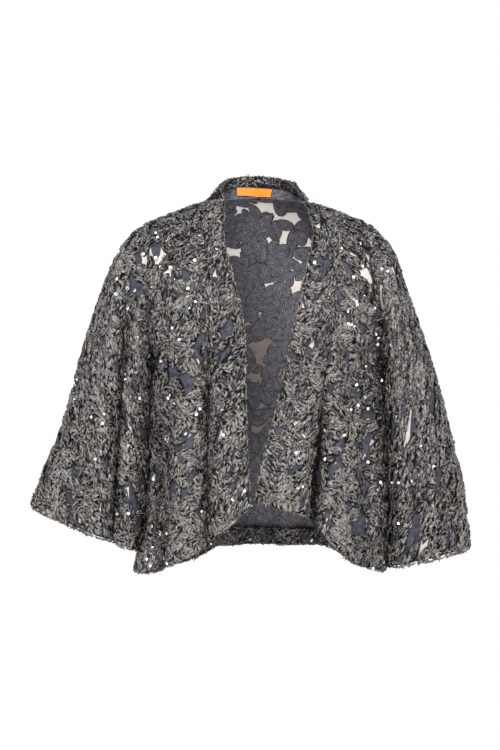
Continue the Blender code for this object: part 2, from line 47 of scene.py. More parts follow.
SIDE_NAMES = {RIGHT: "right", LEFT: "left"}
FRONT, BACK = -1, 1
SEAM_GAP = 0.3 * MM
NECK_HALF = 96 * MM
SHOULDER_SLOPE = 0.374
SHOULDER_HALF = {RIGHT: 183 * MM, LEFT: 181 * MM}
SHOULDER_TIP_Z = -34 * MM
UNDERARM_Z = -247 * MM
SIDE_HEM_Z = -621 * MM
SHOULDER_ROUND = 112 * MM
ARMHOLE_DEPTH = 62 * MM
ARMHOLE_WIDEST_Z = -120 * MM
BACK_NECK_RISE = 15 * MM
BODY_ROUND_OFF = 0.9
FOLD_START = 140 * MM
BODY_FOLD_FADE = 2.5
# Tables are in mm. The first row names the columns, and the first column is what the rest is read along.
BODY = (
    ("z", "right", "left", "front", "back"),
    (-630, 209, 212, 136, 143),
    (-590, 198, 219, 133, 140),
    (-560, 190, 221, 131, 138),
    (-500, 184, 222, 128, 135),
    (-430, 181, 221, 124, 131),
    (-330, 178, 214, 121, 128),
    (-275, 176, 211, 121, 129),
    (-247, 179, 211, 121, 129),
    (-140, 181, 197, 117, 127),
    (-90, 182, 189, 110, 122),
    (-34, 183, 181, 97, 113),
    (34, 183, 181, 78, 104),
)
BACK_HEM = (
    ("x", "z"),
    (-209, -621),
    (-185, -624),
    (-150, -618),
    (-120, -612),
    (-86, -597),
    (-68, -588),
    (0, -586),
    (126, -588),
    (146, -600),
    (166, -615),
    (190, -621),
    (214, -621),
)
# Folds: a line from (x, z) to (x, z) in mm, half width, and depth pressed in (minus: pushed out).
BACK_FOLDS = (
    (-128, -230, -146, -640, 20, 13),
    (-84, -300, -96, -640, 24, -10),
    (-40, -200, -46, -640, 17, 12),
    (6, -330, 4, -640, 26, -9),
    (50, -240, 56, -640, 18, 14),
    (98, -290, 108, -640, 25, -11),
    (140, -210, 156, -640, 19, 12),
)
BACK_ROWS, BACK_STRIPS = 110, 112
# Rows lie closer together at the shoulders: the power of a row's share of the way down.
ROW_CROWDING = 1.15
NET_DEPTH, NET_ROOM = 1.4 * MM, 2.2 * MM
WELD, LEAST_LENGTH = 0.02 * MM, 1e-12
SETTLE_ROUNDS, LONGEST_STEP, STEP_SHARE = 36, 3, 0.7


def curve(at, keys, values):
    """A smooth curve through a table's points, with no overshoot."""
    keys = np.asarray(keys, float)
    values = np.asarray(values, float)
    step = np.diff(keys)
    slope = np.diff(values) / step
    tangent = np.zeros(len(values))
    before, after = slope[:-1], slope[1:]
    same_way = before * after > 0
    total = np.where(same_way, before + after, 1.0)
    tangent[1:-1] = np.where(same_way, 2 * before * after / total, 0.0)
    tangent[0], tangent[-1] = slope[0], slope[-1]
    at = np.clip(at, keys[0], keys[-1])
    row = np.clip(np.searchsorted(keys, at, side="right") - 1, 0, len(step) - 1)
    f = (at - keys[row]) / step[row]
    start = values[row] * (1 + 2 * f) * (1 - f) ** 2 + tangent[row] * step[row] * f * (1 - f) ** 2
    end = values[row + 1] * f**2 * (3 - 2 * f) + tangent[row + 1] * step[row] * f**2 * (f - 1)
    return start + end


def from_table(at, table, name):
    """A named column of a table, at a place in metres along its first column."""
    names, *rows = table
    keys = [row[0] for row in rows]
    values = [row[names.index(name)] for row in rows]
    return curve(np.asarray(at) / MM, keys, values) * MM


def ease(f):
    f = np.clip(f, 0.0, 1.0)
    return f * f * (3 - 2 * f)


def side_half(z, side):
    return from_table(z, BODY, SIDE_NAMES[side])


def half_width(way, z):
    """The body's half width on the right where the way is minus, and on the left elsewhere."""
    return np.where(way < 0, side_half(z, RIGHT), side_half(z, LEFT))


def shoulder_z(x):
    return -SHOULDER_SLOPE * (np.abs(x) - NECK_HALF)


def armhole_depth(z):
    f = np.clip((ARMHOLE_WIDEST_Z - z) / (ARMHOLE_WIDEST_Z - UNDERARM_Z), 0.0, 1.0)
    return ARMHOLE_DEPTH * np.sqrt(1 - f * f)


def shoulder_rounding(x, z):
    f = np.clip((shoulder_z(x) - z) / SHOULDER_ROUND, 0.0, 1.0)
    return np.sqrt(1 - (1 - f) ** 2)


def fold_depth(folds, x, z):
    pressed = np.zeros(np.broadcast(x, z).shape)
    for fold in folds:
        top_x, top_z, low_x, low_z, width, depth = (value * MM for value in fold)
        line_x = top_x + (low_x - top_x) * (top_z - z) / (top_z - low_z)
        across = (x - line_x) / width
        pressed += depth * np.exp(-across * across) * ease((top_z - z) / FOLD_START)
    return pressed


def hanging_cloth(side_angle, z, face, folds):
    """Points of the cloth round the body: side_angle is -90 to 90 degrees from the middle."""
    x = half_width(side_angle, z) * np.sin(side_angle)
    full = from_table(z, BODY, "front" if face == FRONT else "back")
    at_side = armhole_depth(z)
    round_off = np.cos(side_angle) ** BODY_ROUND_OFF
    depth = at_side + (full - at_side) * round_off
    depth = depth - fold_depth(folds, x, z) * np.minimum(1.0, BODY_FOLD_FADE * round_off)
    depth = depth * shoulder_rounding(x, z)
    return np.stack([x, face * (depth + SEAM_GAP / 2), z + 0 * x], axis=-1)


def unit(vectors):
    return vectors / np.maximum(np.linalg.norm(vectors, axis=-1, keepdims=True), LEAST_LENGTH)


class Panel:
    """A cut piece of cloth: its outer face by row and strip, and where each point lies on the flat piece."""

    def __init__(self, name, points, outward, free_edges=(0, 1, 0, 0)):
        self.name = name
        self.points = points
        self.outward = outward
        self.free_edges = free_edges
        across = np.gradient(points, axis=1)
        down = np.gradient(points, axis=0)
        self.normals = unit(outward * np.cross(down, across))
        steps = np.linalg.norm(np.diff(points, axis=1), axis=-1)
        self.x = np.concatenate([np.zeros((len(points), 1)), np.cumsum(steps, axis=1)], axis=1)
        steps = np.linalg.norm(np.diff(points, axis=0), axis=-1)
        self.y = np.concatenate([np.zeros((1, points.shape[1])), np.cumsum(steps, axis=0)], axis=0)

    def read(self, field, row, strip):
        low_row = np.clip(row.astype(int), 0, field.shape[0] - 2)
        low_strip = np.clip(strip.astype(int), 0, field.shape[1] - 2)
        f, g = row - low_row, strip - low_strip
        if field.ndim == 3:
            f, g = f[..., None], g[..., None]
        above = field[low_row, low_strip] * (1 - g) + field[low_row, low_strip + 1] * g
        below = field[low_row + 1, low_strip] * (1 - g) + field[low_row + 1, low_strip + 1] * g
        return above * (1 - f) + below * f

    def settle(self, x, y):
        """Row and strip, as decimals, of places on the flat piece, and how far off the piece they are."""
        rows, strips = self.x.shape
        row = y / self.y.max() * (rows - 1)
        strip = x / self.x.max() * (strips - 1)
        row_length = np.gradient(self.y, axis=0)
        strip_length = np.gradient(self.x, axis=1)
        for _ in range(SETTLE_ROUNDS):
            step = STEP_SHARE * (x - self.read(self.x, row, strip)) / self.read(strip_length, row, strip)
            strip = np.clip(strip + np.clip(step, -LONGEST_STEP, LONGEST_STEP), 0, strips - 1)
            step = STEP_SHARE * (y - self.read(self.y, row, strip)) / self.read(row_length, row, strip)
            row = np.clip(row + np.clip(step, -LONGEST_STEP, LONGEST_STEP), 0, rows - 1)
        miss_x = x - self.read(self.x, row, strip)
        miss_y = y - self.read(self.y, row, strip)
        return row, strip, np.hypot(miss_x, miss_y)

    def stop_short(self, row, strip, room):
        """The same places, drawn back by a length from the edges that are free: top, low, first, last."""
        top, low, first, last = self.free_edges
        rows, strips = self.x.shape
        of_row = room / self.y[-1].mean() * rows
        of_strip = room / self.x[:, -1].mean() * strips
        row = np.clip(row, top * of_row, rows - 1 - low * of_row)
        return row, np.clip(strip, first * of_strip, strips - 1 - last * of_strip)

    def hollow(self, reach):
        """How deep each point lies in a fold: its distance below the line between points on either side."""
        strips = self.x.shape[1]
        away = max(1, round(reach / self.x[:, -1].mean() * strips))
        place = np.arange(strips)
        before = self.points[:, np.clip(place - away, 0, strips - 1)]
        after = self.points[:, np.clip(place + away, 0, strips - 1)]
        return np.sum(((before + after) / 2 - self.points) * self.normals, axis=-1)

    def lie(self, row, strip, height):
        """Points at these rows and strips, at a height over the outer face."""
        normal = unit(self.read(self.normals, row, strip))
        return self.read(self.points, row, strip) + normal * np.asarray(height)[..., None]


def linear(hex_colour):
    """An sRGB colour as linear values."""
    values = [int(hex_colour[i : i + 2], 16) / 255 for i in (1, 3, 5)]
    values = [v / 12.92 if v <= 0.04045 else ((v + 0.055) / 1.055) ** 2.4 for v in values]
    return (*values, 1.0)


# The mix node's sockets for colours: both inputs, and the result.
COLOUR_A, COLOUR_B, MIXED = 6, 7, 2


def feed(node, inputs):
    """Gives a node its inputs, by name or in order, each a value or the output that it reads."""
    for socket, value in inputs.items() if isinstance(inputs, dict) else enumerate(inputs):
        if isinstance(value, bpy.types.NodeSocket):
            node.id_data.links.new(value, node.inputs[socket])
        else:
            node.inputs[socket].default_value = value


def add_node(material, kind, inputs=(), output=0, **settings):
    """A new shader node's first output, or another that is asked for."""
    made = material.node_tree.nodes.new("ShaderNode" + kind)
    for name, value in settings.items():
        setattr(made, name, value)
    feed(made, inputs)
    return made.outputs[output]


def in_scene(name, data):
    """A new object that holds this mesh, lamp or camera."""
    made = bpy.data.objects.new(name, data)
    bpy.context.scene.collection.objects.link(made)
    return made


def finished_mesh(name, bm, material):
    mesh = bpy.data.meshes.new(name)
    bm.to_mesh(mesh)
    bm.free()
    mesh.shade_smooth()
    mesh.materials.append(material)
    return in_scene(name, mesh)


def net_piece(panel, material, height=-NET_DEPTH):
    """A panel's net, with UVs in metres on the flat piece. It takes the place of the panel's solid."""
    rows, strips = panel.x.shape
    row, strip = np.meshgrid(np.arange(rows), np.arange(strips), indexing="ij")
    row, strip = panel.stop_short(row, strip, NET_ROOM)
    points = panel.lie(row, strip, np.full(row.shape, height))
    bm = bmesh.new()
    flat = bm.loops.layers.uv.new("flat")
    bmesh.ops.create_grid(bm, x_segments=strips - 1, y_segments=rows - 1, size=0.5)
    place_of = {}
    for vert in bm.verts:
        place = round((vert.co.y + 0.5) * (rows - 1)), round((vert.co.x + 0.5) * (strips - 1))
        place_of[vert] = place
        vert.co = points[place]
    for face in bm.faces:
        for loop in face.loops:
            place = place_of[loop.vert]
            loop[flat].uv = (panel.x[place], panel.y[place])
    if panel.outward > 0:
        bmesh.ops.reverse_faces(bm, faces=bm.faces)
    bmesh.ops.remove_doubles(bm, verts=bm.verts, dist=WELD)
    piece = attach(finished_mesh(panel.name + "_net", bm, material), "root")
    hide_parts(panel.name)
    return piece


# Nylon tulle, dyed nude: fine threads round holes of a millimetre, seen as sheerness and, close to,
# as a net. On the back it is painted paler near the neck, as painted light, and browner and closer
# below the shoulder blades, as painted shade.
NET_TONES = ("#efe3da", "#72625a")
NET_COVERS = (0.66, 0.92)
NET_HOLE, NET_UNEVEN = 1.1 * MM, 0.3
# A thread is solid up to the second share of a hole's size from its middle line, and gone at the first.
THREAD_FADE = (0.22, 0.08)
NET_SHADE_TOP, NET_SHADE_LOW = -120 * MM, -215 * MM
NET_ROUGHNESS, NET_SPECULAR = 0.7, 0.3


def new_material(name, roughness, specular=0.5):
    material = bpy.data.materials.new(name)
    material.use_nodes = True
    shader = material.node_tree.nodes["Principled BSDF"]
    feed(shader, {"Roughness": roughness, "Specular IOR Level": specular})
    return material, shader


def net_cover(material, least):
    """How much of what lies behind the net is hidden: all of it by a thread, and this least in a hole."""
    net = {"Vector": add_node(material, "UVMap", uv_map="flat")}
    net.update({"Scale": 1 / NET_HOLE, "Randomness": NET_UNEVEN})
    away = add_node(material, "TexVoronoi", net, feature="DISTANCE_TO_EDGE")
    span = {"Value": away, "From Min": THREAD_FADE[0], "From Max": THREAD_FADE[1], "To Min": least}
    return add_node(material, "MapRange", span)


tulle_shaded_low, shader = new_material("nude_tulle_painted_shade_low", NET_ROUGHNESS, NET_SPECULAR)
place = add_node(tulle_shaded_low, "TexCoord", output="Object")
height = add_node(tulle_shaded_low, "SeparateXYZ", (place,), "Z")
# Painted shade: from the top of this span to its foot the net turns from the pale tone to the brown one and
# hides more.
span = {"Value": height, "From Min": NET_SHADE_TOP, "From Max": NET_SHADE_LOW}
share = add_node(tulle_shaded_low, "MapRange", span)
span.update({"To Min": NET_COVERS[0], "To Max": NET_COVERS[1]})
cover = (add_node(tulle_shaded_low, "MapRange", span), net_cover(tulle_shaded_low, 0.0))
cover = add_node(tulle_shaded_low, "Math", cover, operation="MAXIMUM")
nude = {"Factor": share, COLOUR_A: linear(NET_TONES[0]), COLOUR_B: linear(NET_TONES[1])}
nude = add_node(tulle_shaded_low, "Mix", nude, MIXED, data_type="RGBA")
feed(shader, {"Base Color": nude, "Alpha": cover})

down = np.linspace(0, 1, BACK_ROWS + 1)[:, None] ** ROW_CROWDING
angle = np.linspace(-math.pi / 2, math.pi / 2, BACK_STRIPS + 1)[None, :]
top_x = np.where(angle < 0, SHOULDER_HALF[RIGHT], SHOULDER_HALF[LEFT]) * np.sin(angle)
neckline = BACK_NECK_RISE * (1 - (top_x / NECK_HALF) ** 2)
top_z = np.where(np.abs(top_x) < NECK_HALF, neckline, shoulder_z(top_x))
low_x = half_width(angle, SIDE_HEM_Z) * np.sin(angle)
low_z = from_table(low_x, BACK_HEM, "z")
back = Panel("back", hanging_cloth(angle, top_z + (low_z - top_z) * down, BACK, BACK_FOLDS), -1)
back_net = net_piece(back, tulle_shaded_low)


# Front panels.
# Two pieces of the same tulle, from the shoulder seams to hems that slant up towards the opening.
# Each is sewn to the back at shoulder and side and to the neck band along its front edge.
BAND_SEAM = (
    ("z", "right", "left"),
    (-575, 87, 85),
    (-515, 85, 85),
    (-460, 83, 88),
    (-396, 80, 95),
    (-330, 77, 107),
    (-238, 78, 121),
    (-166, 80, 126),
    (-83, 85, 122),
    (-35, 91, 111),
    (0, 96, 96),
)
RIGHT_FRONT_HEM = (
    ("x", "z"),
    (11, -506),
    (30, -522),
    (60, -548),
    (85, -571),
    (110, -586),
    (140, -602),
    (184, -620),
    (209, -621),
)
LEFT_FRONT_HEM = (
    ("x", "z"),
    (5, -503),
    (60, -516),
    (85, -522),
    (96, -536),
    (122, -566),
    (147, -593),
    (180, -609),
    (214, -621),
)
FRONT_FOLDS = (
    (-78, -190, -86, -640, 15, 20),
    (-52, -330, -46, -640, 20, -7),
    (-118, -260, -128, -640, 24, -9),
    (-152, -330, -164, -640, 13, 9),
    (110, -290, 85, -640, 15, 19),
    (60, -330, 44, -640, 22, -7),
    (142, -280, 134, -640, 24, -9),
    (176, -330, 178, -640, 13, 8),
)
# Creases are sharp, narrow folds, in the same columns.
FRONT_CREASES = (
    (-79, -205, -86, -640, 8, 20),
    (116, -215, 86, -640, 8, 20),
    (-140, -300, -150, -640, 4, 6),
    (62, -420, 40, -640, 4, 5),
    (-40, -430, -28, -640, 4, 5),
)
FRONT_ROWS, FRONT_STRIPS = 110, 44


def seam_half(z, side):
    return from_table(z, BAND_SEAM, SIDE_NAMES[side])


def front_panel(side, hem):
    down = np.linspace(0, 1, FRONT_ROWS + 1)[:, None] ** ROW_CROWDING
    across = np.linspace(0, 1, FRONT_STRIPS + 1)[None, :]

    def to_side(first):
        return first + (math.pi / 2 - first) * across

    seam_low = from_table(seam_half(SIDE_HEM_Z, side), hem, "z")
    seam_z = seam_low * down
    seam_angle = np.arcsin(np.minimum(seam_half(seam_z, side) / side_half(seam_z, side), 1.0))
    top_angle = to_side(math.asin(NECK_HALF / SHOULDER_HALF[side]))
    top_z = shoulder_z(SHOULDER_HALF[side] * np.sin(top_angle))
    hem_half = side_half(SIDE_HEM_Z, side)
    low_angle = to_side(np.arcsin(seam_half(seam_low, side) / hem_half))
    low_z = from_table(hem_half * np.sin(low_angle), hem, "z")
    z = top_z + (low_z - top_z) * down
    points = hanging_cloth(side * to_side(seam_angle), z, FRONT, FRONT_FOLDS + FRONT_CREASES)
    return Panel(SIDE_NAMES[side] + "_front", points, side)


right_front = front_panel(RIGHT, RIGHT_FRONT_HEM)
left_front = front_panel(LEFT, LEFT_FRONT_HEM)

# The same nude tulle, laid double all over: it reads as pale as skin wherever it is left bare.
CLOSE_NET_COVER = 0.6
CLOSE_NET_TONES = ("#cbbbb0", "#e0d3ca")
UNEVEN_PER_METRE, UNEVEN_DETAIL = 35.0, 3.0
tulle, shader = new_material("nude_tulle_double", NET_ROUGHNESS, NET_SPECULAR)
place = add_node(tulle, "TexCoord", output="Object")
uneven = add_node(tulle, "TexNoise", {"Vector": place, "Scale": UNEVEN_PER_METRE, "Detail": UNEVEN_DETAIL})
nude = {"Factor": uneven, COLOUR_A: linear(CLOSE_NET_TONES[0]), COLOUR_B: linear(CLOSE_NET_TONES[1])}
nude = add_node(tulle, "Mix", nude, MIXED, data_type="RGBA")
feed(shader, {"Base Color": nude, "Alpha": net_cover(tulle, CLOSE_NET_COVER)})

right_front_net = net_piece(right_front, tulle)
left_front_net = net_piece(left_front, tulle)


# Sleeves.
# Each is one wide piece of tulle, joined to itself along the underarm and set into the armhole.
# It widens to a bell that hangs open, with a deep fold where it falls beside the body.
# Here the first column is the share of the way from armhole to cuff.
SLEEVE_COLUMNS = ("along", "outer_x", "outer_z", "inner_x", "inner_z", "depth", "middle")
RIGHT_SLEEVE = (
    SLEEVE_COLUMNS,
    (0.00, -183, -34, -179, -247, 62, 0),
    (0.10, -215, -51, -182, -272, 76, 0),
    (0.20, -234, -85, -183, -300, 82, -1),
    (0.32, -255, -136, -183, -335, 84, -3),
    (0.45, -277, -200, -184, -375, 83, -6),
    (0.58, -296, -262, -185, -415, 80, -9),
    (0.70, -311, -322, -187, -457, 76, -12),
    (0.82, -329, -383, -189, -503, 72, -15),
    (0.92, -353, -440, -193, -547, 69, -17),
    (1.00, -380, -512, -201, -586, 66, -18),
)
LEFT_SLEEVE = (
    SLEEVE_COLUMNS,
    (0.00, 181, -34, 211, -247, 62, 0),
    (0.10, 211, -52, 217, -275, 76, 0),
    (0.20, 230, -85, 218, -305, 84, -1),
    (0.32, 247, -138, 219, -340, 88, -3),
    (0.45, 267, -195, 222, -380, 90, -6),
    (0.58, 287, -255, 225, -422, 90, -9),
    (0.70, 307, -323, 226, -465, 89, -12),
    (0.82, 324, -393, 227, -510, 88, -14),
    (0.92, 343, -470, 226, -558, 87, -15),
    (1.00, 357, -580, 222, -612, 86, -16),
)
RIGHT_SLEEVE_FOLDS = {
    FRONT: (
        (-208, -70, -242, -560, 12, 27),
        (-216, -60, -243, -560, 4.5, 9),
        (-270, -300, -318, -560, 24, 8),
    ),
    BACK: ((-226, -130, -262, -560, 18, 15), (-290, -320, -330, -560, 20, 9)),
}
LEFT_SLEEVE_FOLDS = {
    FRONT: ((246, -210, 268, -640, 17, 14), (300, -380, 316, -640, 20, 7)),
    BACK: ((238, -150, 262, -640, 18, 15), (292, -320, 312, -640, 20, 9)),
}
SLEEVE_ROUND_OFF = 0.92
SLEEVE_FOLD_FADE = 1.6
ARMHOLE_BLEND = 0.22
SLEEVE_ROWS, SLEEVE_STRIPS = 96, 96


def armhole_ring(angle, side):
    middle = (SHOULDER_TIP_Z + UNDERARM_Z) / 2
    z = middle + (SHOULDER_TIP_Z - UNDERARM_Z) / 2 * np.cos(angle)
    x = side * side_half(z, side)
    depth = armhole_depth(z) * shoulder_rounding(x, z)
    return np.stack([x + side * SEAM_GAP, -np.sign(np.sin(angle)) * depth, z], axis=-1)


def sleeve_panel(side, table, folds):
    """Rows from armhole to cuff, strips once round from the underarm over the back and the front."""
    along = np.linspace(0, 1, SLEEVE_ROWS + 1)[:, None]
    angle = np.linspace(-math.pi, math.pi, SLEEVE_STRIPS + 1)[None, :]
    value = {name: from_table(along * MM, table, name) for name in SLEEVE_COLUMNS[1:]}
    out = (1 + np.cos(angle)) / 2
    x = value["inner_x"] + (value["outer_x"] - value["inner_x"]) * out
    z = value["inner_z"] + (value["outer_z"] - value["inner_z"]) * out
    front = np.sin(angle) > 0
    pressed = np.where(front, fold_depth(folds[FRONT], x, z), fold_depth(folds[BACK], x, z))
    round_off = np.abs(np.sin(angle))
    depth = value["depth"] * round_off**SLEEVE_ROUND_OFF
    depth = depth - pressed * np.minimum(1.0, SLEEVE_FOLD_FADE * round_off)
    tube = np.stack([x, value["middle"] - np.where(front, 1, -1) * depth, z], axis=-1)
    into_tube = ease(along / ARMHOLE_BLEND)[..., None]
    points = armhole_ring(angle + 0 * along, side) * (1 - into_tube) + tube * into_tube
    return Panel(SIDE_NAMES[side] + "_sleeve", points, -side)


right_sleeve = sleeve_panel(RIGHT, RIGHT_SLEEVE, RIGHT_SLEEVE_FOLDS)
left_sleeve = sleeve_panel(LEFT, LEFT_SLEEVE, LEFT_SLEEVE_FOLDS)
right_sleeve_net = net_piece(right_sleeve, tulle)
left_sleeve_net = net_piece(left_sleeve, tulle)


# Neck band.
# One long strip that finishes the whole opening: up one front, round the back of the neck, where it
# stands as a low collar, and down the other front. It is tulle too, with ribbon from edge to edge.
BAND_EDGE = (
    ("seam_z", "right_x", "right_z", "left_x", "left_z"),
    (-572, 11, -506, -5, -503),
    (-515, 12, -484, -5, -497),
    (-460, 14, -445, 4, -452),
    (-396, 17, -390, 18, -392),
    (-330, 18, -330, 35, -327),
    (-238, 19, -242, 54, -236),
    (-166, 28, -172, 68, -166),
    (-100, 43, -112, 83, -103),
    (-45, 55, -56, 93, -50),
    (-12, 54, -14, 86, -17),
    (0, 53, 4, 77, 6),
)
COLLAR_HEIGHT = 34 * MM
COLLAR = (
    ("seam_x", "x", "y", "z"),
    (-96, -53, -44, 4),
    (-82, -62, -14, 27),
    (-62, -57, 18, 41),
    (-30, -33, 42, 50),
    (0, 0, 50, 53),
    (30, 35, 42, 48),
    (62, 60, 18, 40),
    (82, 67, -12, 29),
    (96, 77, -36, 6),
)
BAND_STRIPS = 14


def band_line(seam, side):
    """Points across the front of the band, from the seam to the free edge."""
    free_x = side * from_table(seam[2], BAND_EDGE, SIDE_NAMES[side] + "_x")
    free_z = from_table(seam[2], BAND_EDGE, SIDE_NAMES[side] + "_z")
    across = np.linspace(0, 1, BAND_STRIPS + 1)
    x = seam[0] + (free_x - seam[0]) * across
    z = seam[2] + (free_z - seam[2]) * across
    return hanging_cloth(np.arcsin(x / half_width(x, z)), z, FRONT, FRONT_FOLDS + FRONT_CREASES)


def collar_line(seam):
    """Points up the back of the band, from the neckline to the free edge."""
    free = np.array([from_table(seam[0], COLLAR, axis) for axis in "xyz"])
    across = np.linspace(0, 1, BAND_STRIPS + 1)[:, None]
    return seam + (free - seam) * across


rows = [band_line(seam, RIGHT) for seam in right_front.points[::-1, 0]]
collar_first = len(rows)
rows += [collar_line(seam) for seam in back.points[0] if abs(seam[0]) < NECK_HALF - SEAM_GAP]
collar_last = len(rows) - 1
rows += [band_line(seam, LEFT) for seam in left_front.points[:, 0]]
neck_band = Panel("neck_band", np.array(rows), -1, free_edges=(1, 1, 0, 1))
neck_band_net = net_piece(neck_band, tulle)


# Band turned over inside the neck, and back hem turned up.
# The band's top edge is folded down over itself behind the neck, and the back's lower edge is folded up.
# Both show their ribbon side on the inside, and are caught down by hand.
TURNOVER_DEPTH = 16 * MM
TURNUP_DEPTH, TURNUP_ROWS = 30 * MM, 8
TURNED_AWAY, TURNUP_AWAY = 3.2 * MM, 4.2 * MM
collar = slice(collar_first + 2, collar_last - 1)
strips = int(TURNOVER_DEPTH / COLLAR_HEIGHT * BAND_STRIPS)
inside = neck_band.points[collar, -strips - 1 :] - neck_band.normals[collar, -strips - 1 :] * TURNED_AWAY
turnover = Panel("neck_turnover", inside[:, ::-1], -1)
fold_row = [np.interp(length[-1] - TURNUP_DEPTH, length, np.arange(len(length))) for length in back.y.T]
rows = BACK_ROWS + (np.array(fold_row) - BACK_ROWS) * np.linspace(1, 0, TURNUP_ROWS + 1)[:, None]
strips = np.broadcast_to(np.arange(1, BACK_STRIPS), (TURNUP_ROWS + 1, BACK_STRIPS - 1))
inside = back.lie(rows[:, 1:-1], strips, np.full(strips.shape, -TURNUP_AWAY))
turnup = Panel("back_hem_turnup", inside, 1)
turnover_net = net_piece(turnover, tulle, 0)
turnup_net = net_piece(turnup, tulle, 0)


# Leaves of chiffon.
# Slate chiffon, cut in rounded leaves and sewn to the net close together: rings of petals with
# single leaves between. Most carry ribbon outside, and inside they show smooth, with lines of stitches.
ROSETTE_PITCH = 78 * MM
PETAL_LENGTH = 19 * MM
PETAL_WIDTH = 10 * MM
PETAL_RING = 22 * MM
PETAL_SIZES = (0.9, 1.2)
FEWEST_PETALS, MOST_PETALS = 5, 7
ROSETTE_SHIFT = 0.16 * ROSETTE_PITCH
FILLER_PITCH, FILLER_SHIFT = 9 * MM, 0.4
FILLER_LENGTHS = (11 * MM, 17 * MM)
FILLER_WIDTHS = (6 * MM, 8.5 * MM)
FILLER_ROOM = -0.30
BARE_PETALS, BARE_FILLERS = 0.04, 0.36
VEINED_SHARE = 0.7
CHIFFON_SPREAD, INSIDE_SPREAD = 1.25, 1.16
LEAF_ROOM = 1.8 * MM
LEAF_THICK, LEAF_TIP = 2.0 * MM, 0.03
PILE_LAYERS, PILE_STEP = 5, 0.12 * MM
TURNED_LIFT = 0.3 * MM
LEAF_SEGMENTS, LEAF_STRIPS, COLLAR_LEAF_STRIPS = 6, 2, 4
RIM_ANGLE = math.radians(60)
MOUND = 4.2 * MM
# Places left open to the net, in mm: middle x, middle z and radius. Those with no radius only miss the
# leaves that would lie over them, and are open in the back too. The cloth has to come within reach of one.
OPEN_REACH = 5 * MM
OPEN_PLACES = (
    (-187, -88, 0),
    (-158, -92, 0),
    (-146, -118, 0),
    (183, -119, 0),
    (203, -156, 0),
    (229, -128, 0),
    (245, -400, 1),
    (252, -398, 2),
    (271, -582, 0),
    (-222, -330, 1),
    (-30, 0, 0),
    (-21, 2, 0),
    (8, 3, 0),
    (22, 3, 0),
    (68, -8, 0),
    (44, -52, 0),
    (-44, -66, 0),
    (62, -136, 0),
    (9, -238, 0),
    (-4, -247, 0),
    (0, -298, 0),
    (8, -345, 0),
    (2, -390, 0),
)


def open_places(panel):
    """Where the open places lie on the flat piece, as x, y and radius."""
    found = []
    for place in OPEN_PLACES:
        x, z, radius = (value * MM for value in place)
        in_front = panel.points[..., 1] < 0
        for side in [in_front] if radius else [in_front, panel.points[..., 1] > 0]:
            away = np.hypot(panel.points[..., 0] - x, panel.points[..., 2] - z)
            away = np.where(side, away, np.inf)
            nearest = np.unravel_index(away.argmin(), away.shape)
            if away[nearest] < radius + OPEN_REACH:
                found.append((panel.x[nearest], panel.y[nearest], radius))
    return np.array(found).reshape(-1, 3)


def turned(along, aside, angle):
    """The same places after a turn round the middle."""
    cos, sin = np.cos(angle), np.sin(angle)
    return along * cos - aside * sin, along * sin + aside * cos


def leaf_field(leaves, x, y):
    """For each place, how far inside each leaf it is: 1 at the middle, 0 on the edge, less outside."""
    along, aside = turned(x[:, None] - leaves["x"], y[:, None] - leaves["y"], -leaves["turn"])
    return 1 - (along / leaves["length"]) ** 2 - (aside / leaves["width"]) ** 2


def leaf_layout(panel, seed):
    """Leaves over the flat piece: rosettes on a loose lattice, and small leaves where room is left."""
    width, length = panel.x.max(), panel.y.max()
    dice = np.random.default_rng(seed)
    found = []
    row_rise = ROSETTE_PITCH * math.sqrt(3) / 2
    for row in range(-1, int(length / row_rise) + 2):
        for place in range(-1, int(width / ROSETTE_PITCH) + 2):
            shift_x, shift_y = dice.uniform(-ROSETTE_SHIFT, ROSETTE_SHIFT, 2)
            centre_x = (place + 0.5 * (row % 2)) * ROSETTE_PITCH + shift_x
            centre_y = row * row_rise + shift_y
            petals = int(dice.integers(FEWEST_PETALS, MOST_PETALS + 1))
            turn = dice.uniform(0, 2 * math.pi)
            for petal in range(petals):
                angle = turn + 2 * math.pi * petal / petals
                size = dice.uniform(*PETAL_SIZES)
                x = centre_x + PETAL_RING * math.cos(angle)
                y = centre_y + PETAL_RING * math.sin(angle)
                found.append((x, y, angle, PETAL_LENGTH * size, PETAL_WIDTH * size))
            angle = dice.uniform(0, math.pi)
            found.append((centre_x + ROSETTE_PITCH / 2, centre_y, angle, PETAL_LENGTH, PETAL_WIDTH))
    rows = np.arange(0, length, FILLER_PITCH)
    places = np.arange(0, width, FILLER_PITCH)
    spots = np.array([(x, y) for y in rows for x in places])
    spots += dice.uniform(-FILLER_SHIFT, FILLER_SHIFT, spots.shape) * FILLER_PITCH
    names = ("x", "y", "turn", "length", "width")
    for x, y in spots:
        leaves = dict(zip(names, np.array(found).T))
        if leaf_field(leaves, np.array([x]), np.array([y])).max() < FILLER_ROOM:
            size = (dice.uniform(*FILLER_LENGTHS), dice.uniform(*FILLER_WIDTHS))
            found.append((x, y, dice.uniform(0, math.pi), *size))
    leaves = dict(zip(names, np.array(found).T))
    _, _, off = panel.settle(leaves["x"], leaves["y"])
    near = off < leaves["length"]
    for x, y, radius in open_places(panel):
        grown = leaves | {name: leaves[name] * CHIFFON_SPREAD + radius for name in ("length", "width")}
        near &= leaf_field(grown, np.array([x]), np.array([y]))[0] < 0
    leaves = {name: values[near] for name, values in leaves.items()}
    filler = leaves["width"] < FILLER_WIDTHS[1]
    leaves["bare"] = dice.uniform(size=near.sum()) < np.where(filler, BARE_FILLERS, BARE_PETALS)
    leaves["veined"] = dice.uniform(size=near.sum()) < VEINED_SHARE
    return leaves


